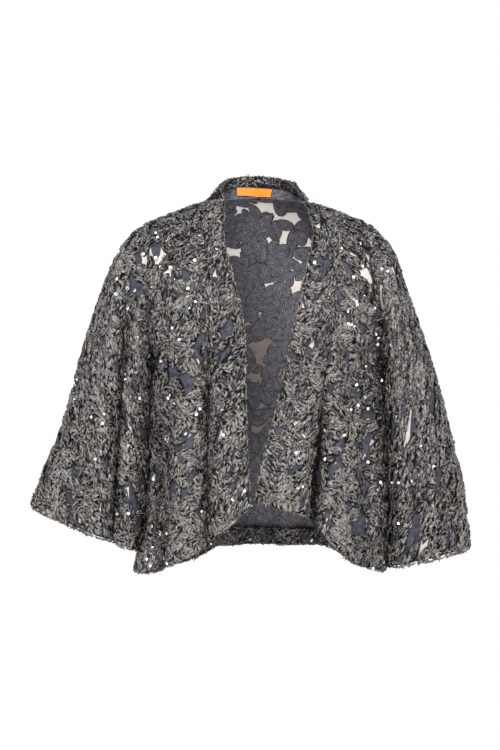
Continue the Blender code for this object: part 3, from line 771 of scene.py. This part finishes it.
def one_leaf(strips):
    """A leaf as a thin closed pillow: along and aside from -1 to 1, and height -1 or 1."""
    bm = bmesh.new()
    bmesh.ops.create_grid(bm, x_segments=LEAF_SEGMENTS, y_segments=strips, size=1)
    top = list(bm.faces)
    made = bmesh.ops.extrude_face_region(bm, geom=top)
    for vert in (item for item in made["geom"] if isinstance(item, bmesh.types.BMVert)):
        vert.co.z = 1
    bmesh.ops.reverse_faces(bm, faces=top)
    for vert in bm.verts:
        vert.co.x = math.sin(vert.co.x * math.pi / 2)
        if vert.co.z != 1:
            vert.co.z = -1
    bmesh.ops.recalc_face_normals(bm, faces=bm.faces)
    return bm


def corners_and_faces(bm):
    """A small mesh's corners, and its faces in an order that is the same each time."""
    bm.verts.index_update()
    corners = np.array([vert.co[:] for vert in bm.verts])
    faces = np.array(sorted(([vert.index for vert in face.verts] for face in bm.faces), key=sorted))
    bm.free()
    return corners, faces


def joined_copies(name, points, faces, material, **shades):
    """One mesh of many like shapes: points is copies by corners by 3, and faces those of one copy."""
    copies, corners = points.shape[:2]
    every = (faces[None] + np.arange(copies)[:, None, None] * corners).reshape(-1, faces.shape[1])
    mesh = bpy.data.meshes.new(name)
    mesh.from_pydata(points.reshape(-1, 3).tolist(), [], every.tolist())
    for shade_name, values in shades.items():
        layer = mesh.attributes.new(shade_name, "FLOAT", "POINT")
        layer.data.foreach_set("value", np.broadcast_to(values, (copies, corners)).astype(np.float32).ravel())
    mesh.shade_smooth()
    mesh.set_sharp_from_angle(angle=RIM_ANGLE)
    mesh.materials.append(material)
    piece = in_scene(name, mesh)
    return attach(piece, "root")


# Polyester chiffon, dyed slate: matt and slightly clouded. Its inside face is painted paler than the outside,
# as painted light, and there the pale stitches that hold the ribbon run round or along each leaf, with
# painted shade along them and round the leaf's rim. Under the ribbon outside it is painted near black, as
# painted shade.
STITCH_ROUNDS, STITCH_VEINS, STITCH_WANDER = 24.0, 20.0, 0.8
CLOUDS_PER_METRE, CLOUD_DETAIL, WANDER_DETAIL = 120.0, 5.0, 1.0
OUTSIDE_TONES, INSIDE_TONES_PAINTED_PALER = ("#2d2c33", "#4d4d58"), ("#444249", "#6d6b73")
PAINTED_STITCH_AND_RIM_SHADE, STITCH_PALE, PAINTED_UNDER_RIBBON_SHADE = "#2c2b30", "#a3a1a6", "#121112"
chiffon, shader = new_material("slate_chiffon", 0.75, 0.1)
under_ribbon, inside_face, veined, along, aside = (
    add_node(chiffon, "Attribute", output="Fac", attribute_name=name)
    for name in ("under_ribbon", "inside_face", "veined", "leaf_along", "leaf_aside")
)
place = add_node(chiffon, "TexCoord", output="Object")
cloudy, wander = (
    add_node(chiffon, "TexNoise", {"Vector": place, "Scale": CLOUDS_PER_METRE, "Detail": detail})
    for detail in (CLOUD_DETAIL, WANDER_DETAIL)
)
wander = add_node(chiffon, "Math", (wander, STITCH_WANDER), operation="MULTIPLY")
along = add_node(chiffon, "Math", (along, 2.0), operation="POWER")
round_off = add_node(chiffon, "Math", (1.0, along), operation="SUBTRACT")
square = add_node(chiffon, "Math", (aside, aside), operation="MULTIPLY")
reach = add_node(chiffon, "Math", (square, round_off, along), operation="MULTIPLY_ADD")
reach = add_node(chiffon, "Math", (reach,), operation="SQRT")
lines = []
for across, often in ((reach, STITCH_ROUNDS), (aside, STITCH_VEINS)):
    line = add_node(chiffon, "Math", (across, wander), operation="ADD")
    line = add_node(chiffon, "Math", (line, often), operation="MULTIPLY")
    lines.append(add_node(chiffon, "Math", (line,), operation="SINE"))
wave = add_node(chiffon, "Mix", {"Factor": veined, "A": lines[0], "B": lines[1]})
wave = add_node(chiffon, "Math", (wave, inside_face), operation="MULTIPLY")
# Each share grows from none where its value is the first number to the last number at the second.
sockets = ("Value", "From Min", "From Max", "To Max")
pale_line, stitch_and_rim_shade, rim, under_ribbon_shade, patchy = (
    add_node(chiffon, "MapRange", dict(zip(sockets, row)))
    for row in (
        (wave, 0.3, 1.0, 0.32),
        # Painted shade along the dark half of the stitch lines.
        (wave, -0.3, -1.0, 0.34),
        # Painted shade round the rim of each leaf, inside.
        (reach, 0.82, 0.95, 0.9),
        # Painted shade: near black under the ribbon outside.
        (reach, 0.88, 0.7, 1.0),
        (cloudy, 0.32, 0.68, 1.0),
    )
)
rim = add_node(chiffon, "Math", (rim, inside_face), operation="MULTIPLY")
stitch_and_rim_shade = add_node(chiffon, "Math", (stitch_and_rim_shade, rim), operation="MAXIMUM")
under_ribbon_shade = add_node(chiffon, "Math", (under_ribbon_shade, under_ribbon), operation="MULTIPLY")
# The inside face is painted paler than the outside, as painted light.
slate, inside = (
    add_node(chiffon, "Mix", {"Factor": patchy, COLOUR_A: dark, COLOUR_B: pale}, MIXED, data_type="RGBA")
    for dark, pale in (map(linear, OUTSIDE_TONES), map(linear, INSIDE_TONES_PAINTED_PALER))
)
for share, over in (
    (inside_face, inside),
    (stitch_and_rim_shade, linear(PAINTED_STITCH_AND_RIM_SHADE)),
    (pale_line, linear(STITCH_PALE)),
    (under_ribbon_shade, linear(PAINTED_UNDER_RIBBON_SHADE)),
):
    slate = {"Factor": share, COLOUR_A: slate, COLOUR_B: over}
    slate = add_node(chiffon, "Mix", slate, MIXED, data_type="RGBA")
feed(shader, {"Base Color": slate})


def sew_leaves(panel, leaves, lift, spread):
    """All of a panel's leaves as one mesh, each settled on the cloth, and domed where it carries ribbon."""
    corners, faces = corners_and_faces(one_leaf(COLLAR_LEAF_STRIPS if panel is neck_band else LEAF_STRIPS))
    along, aside, level = corners.T
    rounded = np.sqrt(np.clip(1 - along**2, 0, 1)) * (1 - LEAF_TIP) + LEAF_TIP
    out_x = along[None] * leaves["length"][:, None] * spread
    out_y = (aside * rounded)[None] * leaves["width"][:, None] * spread
    x, y = turned(out_x, out_y, leaves["turn"][:, None])
    row, strip, _ = panel.settle(leaves["x"][:, None] + x, leaves["y"][:, None] + y)
    row, strip = panel.stop_short(row, strip, LEAF_ROOM)
    pile = (np.arange(len(row)) % PILE_LAYERS - PILE_LAYERS // 2)[:, None] * PILE_STEP
    outside = (level > 0)[None] & ~leaves["bare"][:, None]
    reach = np.hypot(along, aside * rounded)
    domed = MOUND * np.sqrt(np.clip(1 - (reach * spread) ** 2, 0, 1))[None] * outside
    points = panel.lie(row, strip, lift + pile + level[None] * LEAF_THICK / 2 + domed)
    if panel.outward > 0:
        faces = faces[:, ::-1]
    shades = {
        # Where the chiffon gets painted shade under the ribbon.
        "under_ribbon": outside * 1.0,
        "inside_face": (level < 0)[None] * 1.0,
        "veined": leaves["veined"][:, None] * 1.0,
        "leaf_along": along[None],
        "leaf_aside": aside[None],
    }
    joined_copies(panel.name + "_leaves", points, faces, chiffon, **shades)


SEEDS = {back: 15, right_front: 11, left_front: 12, right_sleeve: 13, left_sleeve: 14}
SEEDS.update({neck_band: 16, turnover: 17, turnup: 18})
layouts = {}
for panel, seed in SEEDS.items():
    layouts[panel] = leaf_layout(panel, seed)
    on_turned = panel in (turnover, turnup)
    layouts[panel]["bare"] &= not on_turned
    spread = INSIDE_SPREAD if panel is back else CHIFFON_SPREAD
    sew_leaves(panel, layouts[panel], TURNED_LIFT if on_turned else -NET_DEPTH, spread)


# Gathered ribbon.
# Narrow charcoal ribbon, gathered along its middle so that it stands up in short crinkled loops. It is
# sewn round each leaf and in close rows within it, and along the edges of every cut piece.
LOOP_LENGTHS = (8.0 * MM, 14.0 * MM)
LOOP_WIDTHS = (3.1 * MM, 6.0 * MM)
LOOP_HEIGHTS = (1.3 * MM, 3.2 * MM)
LOOP_BEND, LOOP_TWIST, LOOP_LEAN = 1.9 * MM, 0.6 * MM, 0.4
LOOP_TIP, LOOP_SAG = 0.4, 0.45
LOOP_SEGMENTS, LOOP_STRIPS = 3, 2
LOOP_SPACING = 5.6 * MM
RIM_INSET, RIM_UNEVEN, RIM_STRAY = 2.3 * MM, 0.08, 0.16
ROW_PITCH, ROW_SPACING, ROW_STRAY = 3.2 * MM, 6.2 * MM, 0.28
ROW_SHIFT, PITCH_SHIFT, ROW_TURN, LEAST_ROW = 0.4, 0.22, 0.5, 1 * MM
EDGE_SPACING = 0.62 * LOOP_SPACING
EDGE_ROOM, EDGE_WANDER, EDGE_STRAY, EDGE_SIZE = 5.5 * MM, 1.5 * MM, 0.25, 0.8
EDGE_INSETS = (0, 4 * MM)
UNDER_LEAF, OFF_CLOTH = 0.12, 1.0 * MM
RIBBON_SEEDS = 100
# Tones run from 0, near black, to 1. A loop's crest gets a painted highlight and its sides painted shade,
# and loops in the cloth's hollows get painted shade, those on its ridges a painted highlight.
MEAN_TONE, TONE_SPREAD, LEAF_TONE = 0.44, 0.2, 0.09
PAINTED_CREST_LIGHT, PAINTED_CREST_FADE, PAINTED_SIDE_SHADE = 0.68, 0.6, 0.39
HOLLOW_REACH, HOLLOW_DEPTH, HOLLOW_SHADE, RIDGE_SHADE = 13 * MM, 6 * MM, 0.5, -0.35
BLUE_SHARE = 0.03
FINE_SIZE, FINE_TOP, FINE_LOW = 0.8, -40 * MM, -150 * MM


def one_loop():
    bm = bmesh.new()
    bmesh.ops.create_grid(bm, x_segments=LOOP_SEGMENTS, y_segments=LOOP_STRIPS, size=1)
    return bm


# Crushed polyester ribbon: it breaks into small facets, some pale as pewter and some near black,
# with finer creases over them, and here and there a painted blue glint, for the sheen of its film.
FACET_SIZE, CREASE_SIZE = 2.4 * MM, 1.9 * MM
FACET_SHARE, CREASE_SHARE, DARKENING = 0.5, 1.1, 1.4
CREASE_DEPTH, GLINT_FROM, GLINT_FULL = 0.8 * MM, 0.5, 0.62
RIBBON_TONES, BLUE_GLINT = ("#0c0b0b", "#88827e"), "#6d8792"
ribbon, shader = new_material("gathered_ribbon", 0.45, 0.3)
tone = add_node(ribbon, "Attribute", output="Fac", attribute_name="tone")
blue = add_node(ribbon, "Attribute", output="Fac", attribute_name="blue")
place = add_node(ribbon, "TexCoord", output="Object")
facet = add_node(ribbon, "TexVoronoi", {"Vector": place, "Scale": 1 / FACET_SIZE}, "Color")
facet = add_node(ribbon, "Math", (facet, 0.5), operation="SUBTRACT")
tone = add_node(ribbon, "Math", (facet, FACET_SHARE, tone), operation="MULTIPLY_ADD")
crease = {"Vector": place, "Scale": 1 / CREASE_SIZE, "Detail": 2.0, "Distortion": 0.6}
crease = add_node(ribbon, "TexNoise", crease)
folded = add_node(ribbon, "Bump", {"Height": crease, "Strength": 0.4, "Distance": CREASE_DEPTH})
# A painted blue glint on the peaks of the creases, on the few loops marked blue.
glint = add_node(ribbon, "MapRange", {"Value": crease, "From Min": GLINT_FROM, "From Max": GLINT_FULL})
glint = add_node(ribbon, "Math", (glint, blue), operation="MULTIPLY")
crease = add_node(ribbon, "Math", (crease, 0.5), operation="SUBTRACT")
tone = add_node(ribbon, "Math", (crease, CREASE_SHARE, tone), operation="MULTIPLY_ADD", use_clamp=True)
tone = add_node(ribbon, "Math", (tone, DARKENING), operation="POWER")
greige = {"Factor": tone, COLOUR_A: linear(RIBBON_TONES[0]), COLOUR_B: linear(RIBBON_TONES[1])}
greige = add_node(ribbon, "Mix", greige, MIXED, data_type="RGBA")
greige = {"Factor": glint, COLOUR_A: greige, COLOUR_B: linear(BLUE_GLINT)}
greige = add_node(ribbon, "Mix", greige, MIXED, data_type="RGBA")
feed(shader, {"Base Color": greige, "Normal": folded})


def loops_on_leaves(leaves, dice):
    """Loops round each leaf's rim and in rows within: x, y, way, leaf, depth in it, stray and tone."""
    found = []
    for leaf in np.nonzero(~leaves["bare"])[0]:
        half_length, half_width = leaves["length"][leaf], leaves["width"][leaf]
        length, width = half_length - RIM_INSET, half_width - RIM_INSET
        count = int(math.pi * (length + width) / LOOP_SPACING)
        t = (np.arange(count) + dice.uniform()) * 2 * math.pi / count + dice.normal(0, RIM_UNEVEN, count)
        rim_way = np.arctan2(width * np.cos(t), -length * np.sin(t))

        row_turn = dice.normal(0, ROW_TURN)
        spacing, pitch = (np.arange(-half_length, half_length, step) for step in (ROW_SPACING, ROW_PITCH))
        in_row, rows = (grid.ravel() for grid in np.meshgrid(spacing, pitch))
        in_row = in_row + dice.uniform(-ROW_SHIFT, ROW_SHIFT, len(rows)) * ROW_SPACING
        rows = rows + dice.uniform(-PITCH_SHIFT, PITCH_SHIFT, len(rows)) * ROW_PITCH
        along, aside = turned(in_row, rows, row_turn)
        within = (along / (length - RIM_INSET)) ** 2 + (aside / max(width - RIM_INSET, LEAST_ROW)) ** 2 < 1
        inner = within.sum()
        along = np.concatenate([length * np.cos(t), along[within]])
        aside = np.concatenate([width * np.sin(t), aside[within]])
        way = np.concatenate([rim_way, np.full(inner, row_turn)]) + leaves["turn"][leaf]
        stray = np.concatenate([np.full(count, RIM_STRAY), np.full(inner, ROW_STRAY)])

        x, y = turned(along, aside, leaves["turn"][leaf])
        x, y = leaves["x"][leaf] + x, leaves["y"][leaf] + y
        depth = 1 - (along / half_length) ** 2 - (aside / half_width) ** 2
        tone = dice.normal(0, LEAF_TONE)
        found.append(np.stack(np.broadcast_arrays(x, y, way, leaf, depth, stray, tone), axis=-1))
    return np.concatenate(found)


def loops_on_edges(panel, dice):
    """Loops along the panel's four edges, in rows one behind the other, with -1 for their leaf."""
    found = []
    rows, strips = panel.x.shape
    across, down = np.arange(strips), np.arange(rows)
    lines = []
    for inset in EDGE_INSETS:
        row = inset / panel.y[-1].mean() * rows
        strip = inset / panel.x[:, -1].mean() * strips
        lines += [(row, across), (rows - 1 - row, across), (down, strip), (down, strips - 1 - strip)]
    for row, strip in lines:
        row, strip = np.broadcast_arrays(np.asarray(row, float), np.asarray(strip, float))
        x, y = panel.read(panel.x, row, strip), panel.read(panel.y, row, strip)
        run = np.concatenate([[0], np.cumsum(np.hypot(np.diff(x), np.diff(y)))])
        at = np.arange(0, run[-1], EDGE_SPACING)
        x, y = np.interp(at, run, x), np.interp(at, run, y)
        way = np.arctan2(np.gradient(y), np.gradient(x))
        x, y = (line + dice.uniform(-1, 1, len(at)) * EDGE_WANDER for line in (x, y))
        found.append(np.stack(np.broadcast_arrays(x, y, way, -1, 0, EDGE_STRAY, 0), axis=-1))
    return np.concatenate(found)


def sew_ribbon(panel, leaves, seed):
    """All of a panel's loops as one mesh: those that lie on the cloth, and under no other leaf."""
    dice = np.random.default_rng(seed + RIBBON_SEEDS)
    loops = np.concatenate([loops_on_leaves(leaves, dice), loops_on_edges(panel, dice)])
    x, y, way, leaf, depth, stray, leaf_tone = loops.T
    on_edge = leaf < 0
    inside = leaf_field(leaves, x, y)
    inside[~on_edge, leaf[~on_edge].astype(int)] = -np.inf
    clear = inside.max(axis=1) < depth + UNDER_LEAF
    row, strip, off = panel.settle(x, y)
    on_cloth = off < OFF_CLOTH
    for open_x, open_y, radius in open_places(panel):
        on_cloth &= np.hypot(x - open_x, y - open_y) > radius
    way = way + dice.normal(0, 1, len(loops)) * stray
    ends = []
    for end in (-EDGE_ROOM, EDGE_ROOM):
        end_row, end_strip, off = panel.settle(x + end * np.cos(way), y + end * np.sin(way))
        on_cloth &= (off < OFF_CLOTH) | on_edge
        ends.append(panel.read(panel.points, end_row, end_strip))
    keep = (clear | on_edge) & on_cloth
    run = (ends[1] - ends[0])[keep]
    row, strip, depth, leaf_tone, on_edge = (each[keep] for each in (row, strip, depth, leaf_tone, on_edge))
    count = len(row)

    base = panel.read(panel.points, row, strip)
    normal = unit(panel.read(panel.normals, row, strip))
    aside_way = unit(np.cross(normal, run))
    along_way = np.cross(aside_way, normal)
    lean = dice.normal(0, LOOP_LEAN, count)[:, None]
    aside_way, up_way = turned(aside_way, normal, -lean)
    fine = FINE_SIZE + (1 - FINE_SIZE) * ease((FINE_TOP - base[:, 2]) / (FINE_TOP - FINE_LOW))
    fine *= np.where(on_edge, EDGE_SIZE, 1)
    length = (dice.uniform(*LOOP_LENGTHS, count) * fine)[:, None] / 2
    width = (dice.uniform(*LOOP_WIDTHS, count) * fine)[:, None] / 2
    height = dice.uniform(*LOOP_HEIGHTS, count)[:, None]
    bend = dice.normal(0, LOOP_BEND, count)[:, None]
    twist = dice.normal(0, LOOP_TWIST, count)[:, None]
    on_mound = MOUND * np.sqrt(np.clip(depth, 0, 1))[:, None]

    corners, faces = corners_and_faces(one_loop())
    a, b, _ = corners.T
    narrow = LOOP_TIP + (1 - LOOP_TIP) * (1 - a**2)
    move_along = a * length
    move_aside = b * narrow * width + bend * a**2
    move_up = height * ((1 - a**2) * (1 - LOOP_SAG * b**2)) + twist * (a * b)
    points = base[:, None] + normal[:, None] * on_mound[..., None]
    for direction, moved in ((along_way, move_along), (aside_way, move_aside), (up_way, move_up)):
        points = points + direction[:, None] * moved[..., None]
    # Painted shade on loops in the cloth's hollows and a painted highlight on its ridges; on each loop a
    # painted highlight along its crest and painted shade on its sides.
    hollow = panel.read(panel.hollow(HOLLOW_REACH), row, strip) / HOLLOW_DEPTH
    shade = np.clip(hollow, RIDGE_SHADE, 1) * HOLLOW_SHADE
    tone = dice.normal(MEAN_TONE, TONE_SPREAD, count) + leaf_tone - shade
    tone = tone[:, None] + PAINTED_CREST_LIGHT * (1 - PAINTED_CREST_FADE * a**2) * (1 - b**2) - PAINTED_SIDE_SHADE
    blue = (dice.uniform(size=count) < BLUE_SHARE)[:, None] * 1.0
    joined_copies(panel.name + "_ribbon", points, faces, ribbon, tone=np.clip(tone, 0, 1), blue=blue)


for panel, seed in SEEDS.items():
    sew_ribbon(panel, layouts[panel], seed)


# Sequins.
# Clear round sequins, slightly cupped, each held at its middle by a stitch. They lie at all slants
# between the loops, in ones, twos and small groups, so that only some catch the light.
SEQUIN_RADIUS, SEQUIN_CUP = 2.7 * MM, 0.35 * MM
SEQUIN_SIDES = 10
SEQUIN_SLANT = 0.5
SEQUINS_PER_SQUARE_METRE = {
    back: 480,
    right_front: 760,
    left_front: 640,
    right_sleeve: 240,
    left_sleeve: 180,
    neck_band: 560,
    turnup: 1000,
}
GROUP_SIZES, GROUP_SHARES, MEAN_GROUP = (1, 2, 3), (0.66, 0.24, 0.1), 1.45
GROUP_SPREAD = 10 * MM
ROW_MARGIN, STRIP_MARGIN, SEQUIN_SEEDS = 1, 0.5, 200
SEQUIN_LIFT, SEQUIN_OFF = 5.0 * MM, 0.5 * MM
SPARSE_TOP, SPARSE_SHARE = -70 * MM, 0.75

sequin_film, shader = new_material("clear_sequin_film", 0.12)
feed(shader, {"Base Color": linear("#eef1f6"), "Metallic": 0.25})


def one_sequin():
    bm = bmesh.new()
    made = bmesh.ops.create_circle(bm, segments=SEQUIN_SIDES, radius=1, cap_ends=True)
    bmesh.ops.poke(bm, faces=bm.faces)
    for vert in bm.verts:
        if vert.co.length < 0.5:
            vert.co.z = -1
    return bm


def sew_sequins(panel, seed, density):
    """A panel's sequins as one mesh, each at its own slant over the ribbon, and few on the shoulders."""
    dice = np.random.default_rng(seed + SEQUIN_SEEDS)
    area = panel.x[len(panel.x) // 2, -1] * panel.y[-1, panel.y.shape[1] // 2]
    groups = int(area * density / MEAN_GROUP)
    rows, strips = panel.x.shape
    row = dice.uniform(ROW_MARGIN, rows - 1 - ROW_MARGIN, groups)
    strip = dice.uniform(STRIP_MARGIN, strips - 1 - STRIP_MARGIN, groups)
    sizes = dice.choice(GROUP_SIZES, groups, p=GROUP_SHARES)
    high = panel.read(panel.points, row, strip)[:, 2] > SPARSE_TOP
    sizes[high & (dice.uniform(size=groups) < SPARSE_SHARE)] = 0
    row, strip = np.repeat(row, sizes), np.repeat(strip, sizes)
    x = panel.read(panel.x, row, strip) + dice.normal(0, GROUP_SPREAD, len(row))
    y = panel.read(panel.y, row, strip) + dice.normal(0, GROUP_SPREAD, len(row))
    row, strip, off = panel.settle(x, y)
    row, strip = row[off < SEQUIN_OFF], strip[off < SEQUIN_OFF]
    count = len(row)
    normal = unit(unit(panel.read(panel.normals, row, strip)) + dice.normal(0, SEQUIN_SLANT, (count, 3)))
    side = unit(np.cross(normal, dice.normal(0, 1, (count, 3))))
    corners, faces = corners_and_faces(one_sequin())
    points = panel.lie(row, strip, np.full(count, SEQUIN_LIFT))[:, None]
    sizes = (SEQUIN_RADIUS, SEQUIN_RADIUS, SEQUIN_CUP)
    for direction, moved, size in zip((side, np.cross(normal, side), normal), corners.T, sizes):
        points = points + direction[:, None] * moved[:, None] * size
    joined_copies(panel.name + "_sequins", points, faces, sequin_film)


for panel, density in SEQUINS_PER_SQUARE_METRE.items():
    sew_sequins(panel, SEEDS[panel], density)


# The cut.
# Each piece as it lay on the cutting table, in mm, with its flat area in square metres. The names of what
# is sewn to it are gathered with it. The sleeves' widths are all round.
CUTS = (
    (back_net, 610, 645, 0.318, "draped"),
    (right_front_net, 220, 650, 0.096, "draped"),
    (left_front_net, 260, 645, 0.094, "draped"),
    (right_sleeve_net, 585, 525, 0.211, "draped"),
    (left_sleeve_net, 560, 585, 0.200, "draped"),
    (neck_band_net, 125, 1450, 0.083, "draped"),
    (turnover_net, 19, 205, 0.0033, "folded"),
    (turnup_net, 585, 30, 0.0170, "folded"),
)
for net, width, length, area, held in CUTS:
    sewn_on = [net.name.removesuffix("net") + kind for kind in ("leaves", "ribbon", "sequins")]
    sewn_on = [piece for piece in sewn_on if piece in bpy.data.objects]


# Neck label.
# A plain woven satin label in orange, with nothing on it, sewn flat inside the band at the neck.
LABEL_WIDTH, LABEL_HEIGHT = 70 * MM, 15 * MM
LABEL_MIDDLE, LABEL_RISE = -3 * MM, 13 * MM
LABEL_TILT = math.radians(3.2)
LABEL_AWAY = 5.4 * MM
LABEL_SEGMENTS, LABEL_STRIPS = 30, 10
SATIN_RIB, THREAD_PLY = 1.6 * MM, 0.5 * MM
STITCH_HALF, STITCH_THICK = 0.9 * MM, 0.25 * MM
STITCHES_AN_END, STITCH_REACH = 7, 0.42

satin, shader = new_material("orange_label_satin", 0.4, 0.4)
rib = {"Vector": add_node(satin, "UVMap", uv_map="flat")}
rib.update({"Scale": 1 / SATIN_RIB, "Distortion": 1.5, "Detail": 2.0})
rib = add_node(satin, "TexWave", rib, "Fac", bands_direction="Y")
orange = {"Factor": rib, COLOUR_A: linear("#f4832a"), COLOUR_B: linear("#ff9535")}
orange = add_node(satin, "Mix", orange, MIXED, data_type="RGBA")
feed(shader, {"Base Color": orange})

label_strip = BAND_STRIPS // 3
collar_x = neck_band.points[collar_first:collar_last, label_strip, 0]
label_row = collar_first + np.abs(collar_x - LABEL_MIDDLE).argmin()


def on_label(across, up, height):
    """Places over the label's face, from lengths along and up the band from the label's middle."""
    along = neck_band.y[label_row, label_strip] + across
    row = np.interp(along, neck_band.y[:, label_strip], np.arange(len(neck_band.y)))
    rise = LABEL_RISE + up - across * math.tan(LABEL_TILT)
    strip = np.interp(rise, neck_band.x[label_row], np.arange(BAND_STRIPS + 1))
    return neck_band.lie(row, strip, -LABEL_AWAY - height)


bm = bmesh.new()
flat = bm.loops.layers.uv.new("flat")
bmesh.ops.create_grid(bm, x_segments=LABEL_SEGMENTS, y_segments=LABEL_STRIPS, size=0.5)
for face in bm.faces:
    for loop in face.loops:
        loop[flat].uv = (loop.vert.co.x * LABEL_WIDTH, loop.vert.co.y * LABEL_HEIGHT)
for vert in bm.verts:
    vert.co = on_label(np.array([vert.co.x]) * LABEL_WIDTH, np.array([vert.co.y]) * LABEL_HEIGHT, 0)[0]
neck_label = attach(finished_mesh("orange_neck_label", bm, satin), "root")
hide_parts("neck_label")

# Polyester sewing thread: two plies show as fine slanting stripes. It holds the label by its short ends.
thread, shader = new_material("orange_sewing_thread", 0.5, 0.3)
ply = {"Vector": add_node(thread, "TexCoord", output="Object"), "Scale": 1 / THREAD_PLY}
ply = add_node(thread, "TexWave", ply, "Fac", bands_direction="DIAGONAL")
orange = {"Factor": ply, COLOUR_A: linear("#c75e16"), COLOUR_B: linear("#f08a3c")}
orange = add_node(thread, "Mix", orange, MIXED, data_type="RGBA")
feed(shader, {"Base Color": orange})
bm = bmesh.new()
bmesh.ops.create_icosphere(bm, subdivisions=1, radius=1)
corners, faces = corners_and_faces(bm)
a, b, c = corners.T
stitches = [
    on_label(end + a * STITCH_HALF, up + b * STITCH_THICK, c * STITCH_THICK)
    for end in (STITCH_HALF - LABEL_WIDTH / 2, LABEL_WIDTH / 2 - STITCH_HALF)
    for up in np.linspace(-STITCH_REACH, STITCH_REACH, STITCHES_AN_END) * LABEL_HEIGHT
]
label_stitches = joined_copies("orange_neck_label_stitches", np.array(stitches), faces, thread)


# Studio.
# A pale floor far below, even white light all round, and two soft lamps in front: a strong one high on
# the right of the garment and a weaker one lower down on its left.
FLOOR_Z, FLOOR_RADIUS, FLOOR_SIDES = -1.25, 1.4, 64
CAMERA_X, CAMERA_Z, CAMERA_AWAY = -0.012, -0.289, 3.5
VIEW_HEIGHT = 1.275
SENSOR = 36.0

paper, shader = new_material("pale_paper", 0.9)
feed(shader, {"Base Color": linear("#f2f1ef")})
bm = bmesh.new()
bmesh.ops.create_circle(bm, segments=FLOOR_SIDES, radius=FLOOR_RADIUS, cap_ends=True)
bmesh.ops.translate(bm, verts=bm.verts, vec=(0, 0, FLOOR_Z))
floor = finished_mesh("floor", bm, paper)

world = bpy.data.worlds.new("white_studio")
world.use_nodes = True
feed(world.node_tree.nodes["Background"], {"Color": (1, 1, 1, 1), "Strength": 1.0})
bpy.context.scene.world = world
# Each lamp's place in metres, tilt and turn in degrees, side in metres and power in watts.
for name, place, tilt, turn, size, power in (
    ("key_light", (-0.6, -2.7, 1.5), 58, -13, 1.4, 108.0),
    ("fill_light", (1.8, -2.4, 0.3), 80, 37, 1.6, 32.0),
):
    lamp = bpy.data.lights.new(name, "AREA")
    lamp.size = size
    lamp.energy = power
    lamp_object = in_scene(name, lamp)
    lamp_object.location = place
    lamp_object.rotation_euler = (math.radians(tilt), 0, math.radians(turn))

camera = bpy.data.cameras.new("camera")
camera.sensor_fit = "VERTICAL"
camera.sensor_height = SENSOR
camera.lens = SENSOR * CAMERA_AWAY / VIEW_HEIGHT
camera_object = in_scene("camera", camera)
camera_object.location = (CAMERA_X, -CAMERA_AWAY, CAMERA_Z)
camera_object.rotation_euler = (math.pi / 2, 0, 0)
bpy.context.scene.camera = camera_object
bpy.context.scene.view_settings.view_transform = "Standard"
